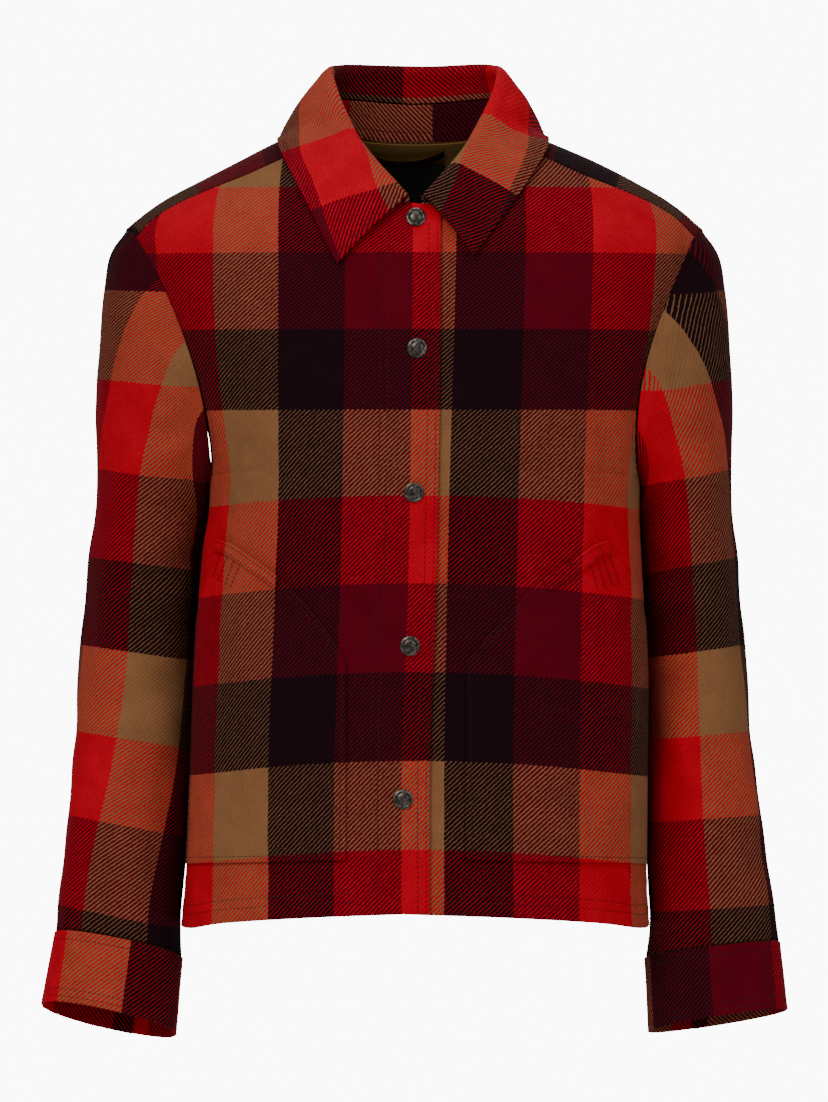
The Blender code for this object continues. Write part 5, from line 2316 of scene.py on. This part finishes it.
@dataclass
class NeckFurniture(Maker):
    """What shows in the neck opening: lining, bare label and hanger loop."""

    def _plain(self, surface: Surface, column: float, row: float) -> np.ndarray:
        """Return the same column and row of the check at each point of a surface."""
        return np.broadcast_to((column, row), surface.points.shape[:2] + (2,)).copy()

    def lining(self) -> Object:
        """Return the lining at the back neck."""
        rows = drawn_back(back_grid(), first_column=True, last_column=True)
        surface = Surface.through(lining_grid(rows), 3, 3)
        lining = self.finishes.lining
        check = self._plain(surface, 0.5, 0.5)
        return ClothPiece(
            "back_lining", surface, check, THIN_WALL, lining, lining,
            slot="lining_cloth", rests_on=("back",),
        ).make()

    def label(self) -> Object:
        """Return the bare label."""
        rows = back_patch(LABEL_MIDDLE, LABEL_HALF_WIDTH, LABEL_TOP, LABEL_HEIGHT, LABEL_DEPTH, 12, 8)
        surface = Surface.through(rows, 2, 2)
        cloth = self.finishes.label
        piece = ClothPiece(
            "neck_label", surface, self._plain(surface, 0.5, 0.5), THIN_WALL, cloth, cloth,
            slot="label_cloth", rests_on=("back_lining",),
        ).make()
        lines = [surface.line(edge, 1.6 * MM) for edge in Edge]
        self.needle.sew("stitching_label", lines, -0.6 * THIN_WALL, self.finishes.label)
        return piece

    def loop(self) -> Object:
        """Return the hanger loop."""
        surface = Surface.through(loop_grid(), 6, 5)
        wool = self.finishes.wool
        check = self._plain(surface, 2.5, 2.5)
        rests = ("back_lining",)
        return ClothPiece("hanger_loop", surface, check, THIN_WALL, wool, wool, rests_on=rests).make()


@dataclass
class Snaps:
    """The snap caps on the closing edge."""

    finishes: Finishes
    sides: int = 48
    rim_height: float = 1.1 * MM
    steps: tuple[tuple[float, float], ...] = (
        # inset and rise in millimetres, from the rim to the dome
        (0.5, 0.30), (0.9, 0.22), (0.5, -0.42), (0.35, 0.0), (0.4, 0.55), (0.8, 0.42),
        (1.2, 0.34), (1.5, 0.18), (1.0, 0.04),
    )

    def _cap(self) -> Object:
        """Return one cap, which faces up at the origin: a rim, a ring groove and a dome."""
        bpy.ops.object.select_all(action="DESELECT")
        bpy.ops.mesh.primitive_cylinder_add(vertices=self.sides, radius=SNAP_RADIUS, depth=self.rim_height)
        cap = bpy.context.object
        bpy.ops.object.mode_set(mode="EDIT")
        bpy.ops.mesh.select_all(action="DESELECT")
        bpy.ops.object.mode_set(mode="OBJECT")
        for face in cap.data.polygons:
            face.select = face.normal.z > 0.9
        bpy.ops.object.mode_set(mode="EDIT")
        bpy.ops.mesh.select_mode(type="FACE")
        for inset, rise in self.steps:
            bpy.ops.mesh.inset(thickness=inset * MM, depth=0.0)
            bpy.ops.transform.translate(value=(0.0, 0.0, rise * MM))
        bpy.ops.mesh.poke()
        bpy.ops.object.mode_set(mode="OBJECT")
        bpy.ops.object.shade_smooth_by_angle(angle=0.7)
        cap.data.materials.append(self.finishes.metal)
        return cap

    def sew_on(self, front: Object) -> None:
        """Put a cap at each place on the right front.

        Args:
            front: the right front
        """
        cap = self._cap()
        for number, place in enumerate(SNAP_PLACES, start=1):
            line = seen_line(front, (place, (place[0] + 0.5, place[1])))
            normal = Vector(line[1].mean(axis=0)).normalized()
            copy = cap.copy()
            copy.data = cap.data.copy()
            copy.name = copy.data.name = f"cap_snap_{number}"
            bpy.context.scene.collection.objects.link(copy)
            turn = normal.to_track_quat("Z", "Y").to_matrix().to_4x4()
            turn.translation = Vector(line[0][0]) + normal * (0.5 * self.rim_height + 0.1 * MM)
            copy.data.transform(turn)
            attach(copy, "root")
            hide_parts(f"snap_{number}")
            log.info("snap_%d at %s", number, tuple(round(v, 3) for v in turn.translation))
        bpy.data.objects.remove(cap)


@dataclass(frozen=True)
class Studio:
    """A far camera, soft lamps, a pale floor and a white surround."""

    distance: float = 12.0
    view_height: float = 0.8816
    view_middle: tuple[float, float] = (-0.0008, -0.3208)
    floor_height: float = -0.86
    lamps: tuple[tuple, ...] = (
        # place, size, power, colour
        ((-1.5, -3, 1.9), 1.8, 68, (1, 0.97, 0.94)),
        ((2.2, -2.8, 0.9), 2.2, 26, (0.96, 0.98, 1)),
        ((0, 2.6, 1.6), 2, 24, (1, 1, 1)),
        ((0, -0.6, 2.6), 1.6, 20, (1, 1, 1)),
    )

    def camera(self) -> None:
        """Make the camera, level with the middle of the picture."""
        across, up = self.view_middle
        level = (math.pi / 2.0, 0.0, 0.0)
        bpy.ops.object.camera_add(location=(across, -self.distance, up), rotation=level)
        camera = bpy.context.object
        camera.name = "camera"
        camera.data.sensor_fit = "AUTO"
        camera.data.lens = camera.data.sensor_width * self.distance / self.view_height
        camera.data.clip_end = 60.0
        bpy.context.scene.camera = camera

    def light(self) -> None:
        """Make the lamps, which look at the jacket's middle, and the surround."""
        aim = Vector((0.0, 0.0, self.view_middle[1]))
        for number, (place, size, power, colour) in enumerate(self.lamps, start=1):
            bpy.ops.object.light_add(type="AREA", location=place)
            lamp = bpy.context.object
            lamp.name = f"lamp_{number}"
            lamp.rotation_euler = (aim - Vector(place)).to_track_quat("-Z", "Y").to_euler()
            lamp.data.size, lamp.data.energy, lamp.data.color = size, power, colour
        world = bpy.data.worlds.new("surround")
        bpy.context.scene.world = world
        world.use_nodes = True
        bench = Bench(world.node_tree)
        background = world.node_tree.nodes["Background"]
        background.inputs["Color"].default_value = (1.0, 1.0, 1.0, 1.0)
        seen = bench.add("LightPath").outputs["Is Camera Ray"]
        bench.join(bench.sum("MULTIPLY_ADD", seen, 10.0, 0.25), background, "Strength")

    def floor(self) -> None:
        """Make the floor, below the picture."""
        bpy.ops.mesh.primitive_circle_add(
            vertices=96, radius=1.9, fill_type="NGON", location=(0.0, 0.0, self.floor_height)
        )
        floor = bpy.context.object
        floor.name = "floor"
        made, shader, bench = new_material("floor")
        bench.hold(shader, {"Base Color": (0.86, 0.86, 0.86, 1.0), "Roughness": 0.9})
        floor.data.materials.append(made)
        floor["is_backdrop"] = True


def main() -> None:
    """Build the jacket's pieces and the studio around them."""
    logging.basicConfig(level=logging.INFO, format="%(name)s: %(message)s")
    studio = Studio()
    studio.camera()
    finishes, needle = Finishes.made(), Needlework()
    body = Body(finishes, needle)
    sleeves, pockets = SleevePair(finishes, needle), Pockets(finishes, needle)
    collar, neck = Collar(finishes, needle), NeckFurniture(finishes, needle)
    front = body.front(RIGHT)
    body.front(LEFT)
    body.back()
    for side in (RIGHT, LEFT):
        sleeves.sleeve(side)
        sleeves.cuff(side)
        pockets.patch(side)
        pockets.band(side)
    collar.stand_band()
    collar.leaf()
    neck.lining()
    neck.label()
    neck.loop()
    Snaps(finishes).sew_on(front)
    studio.light()
    studio.floor()
    boxes = {"cad": cad_box, "visual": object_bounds()}
    sizes = {name: [list(corner) for corner in box] for name, box in boxes.items()}
    log.info("size %s", sizes)


if __name__ == "__main__":
    main()
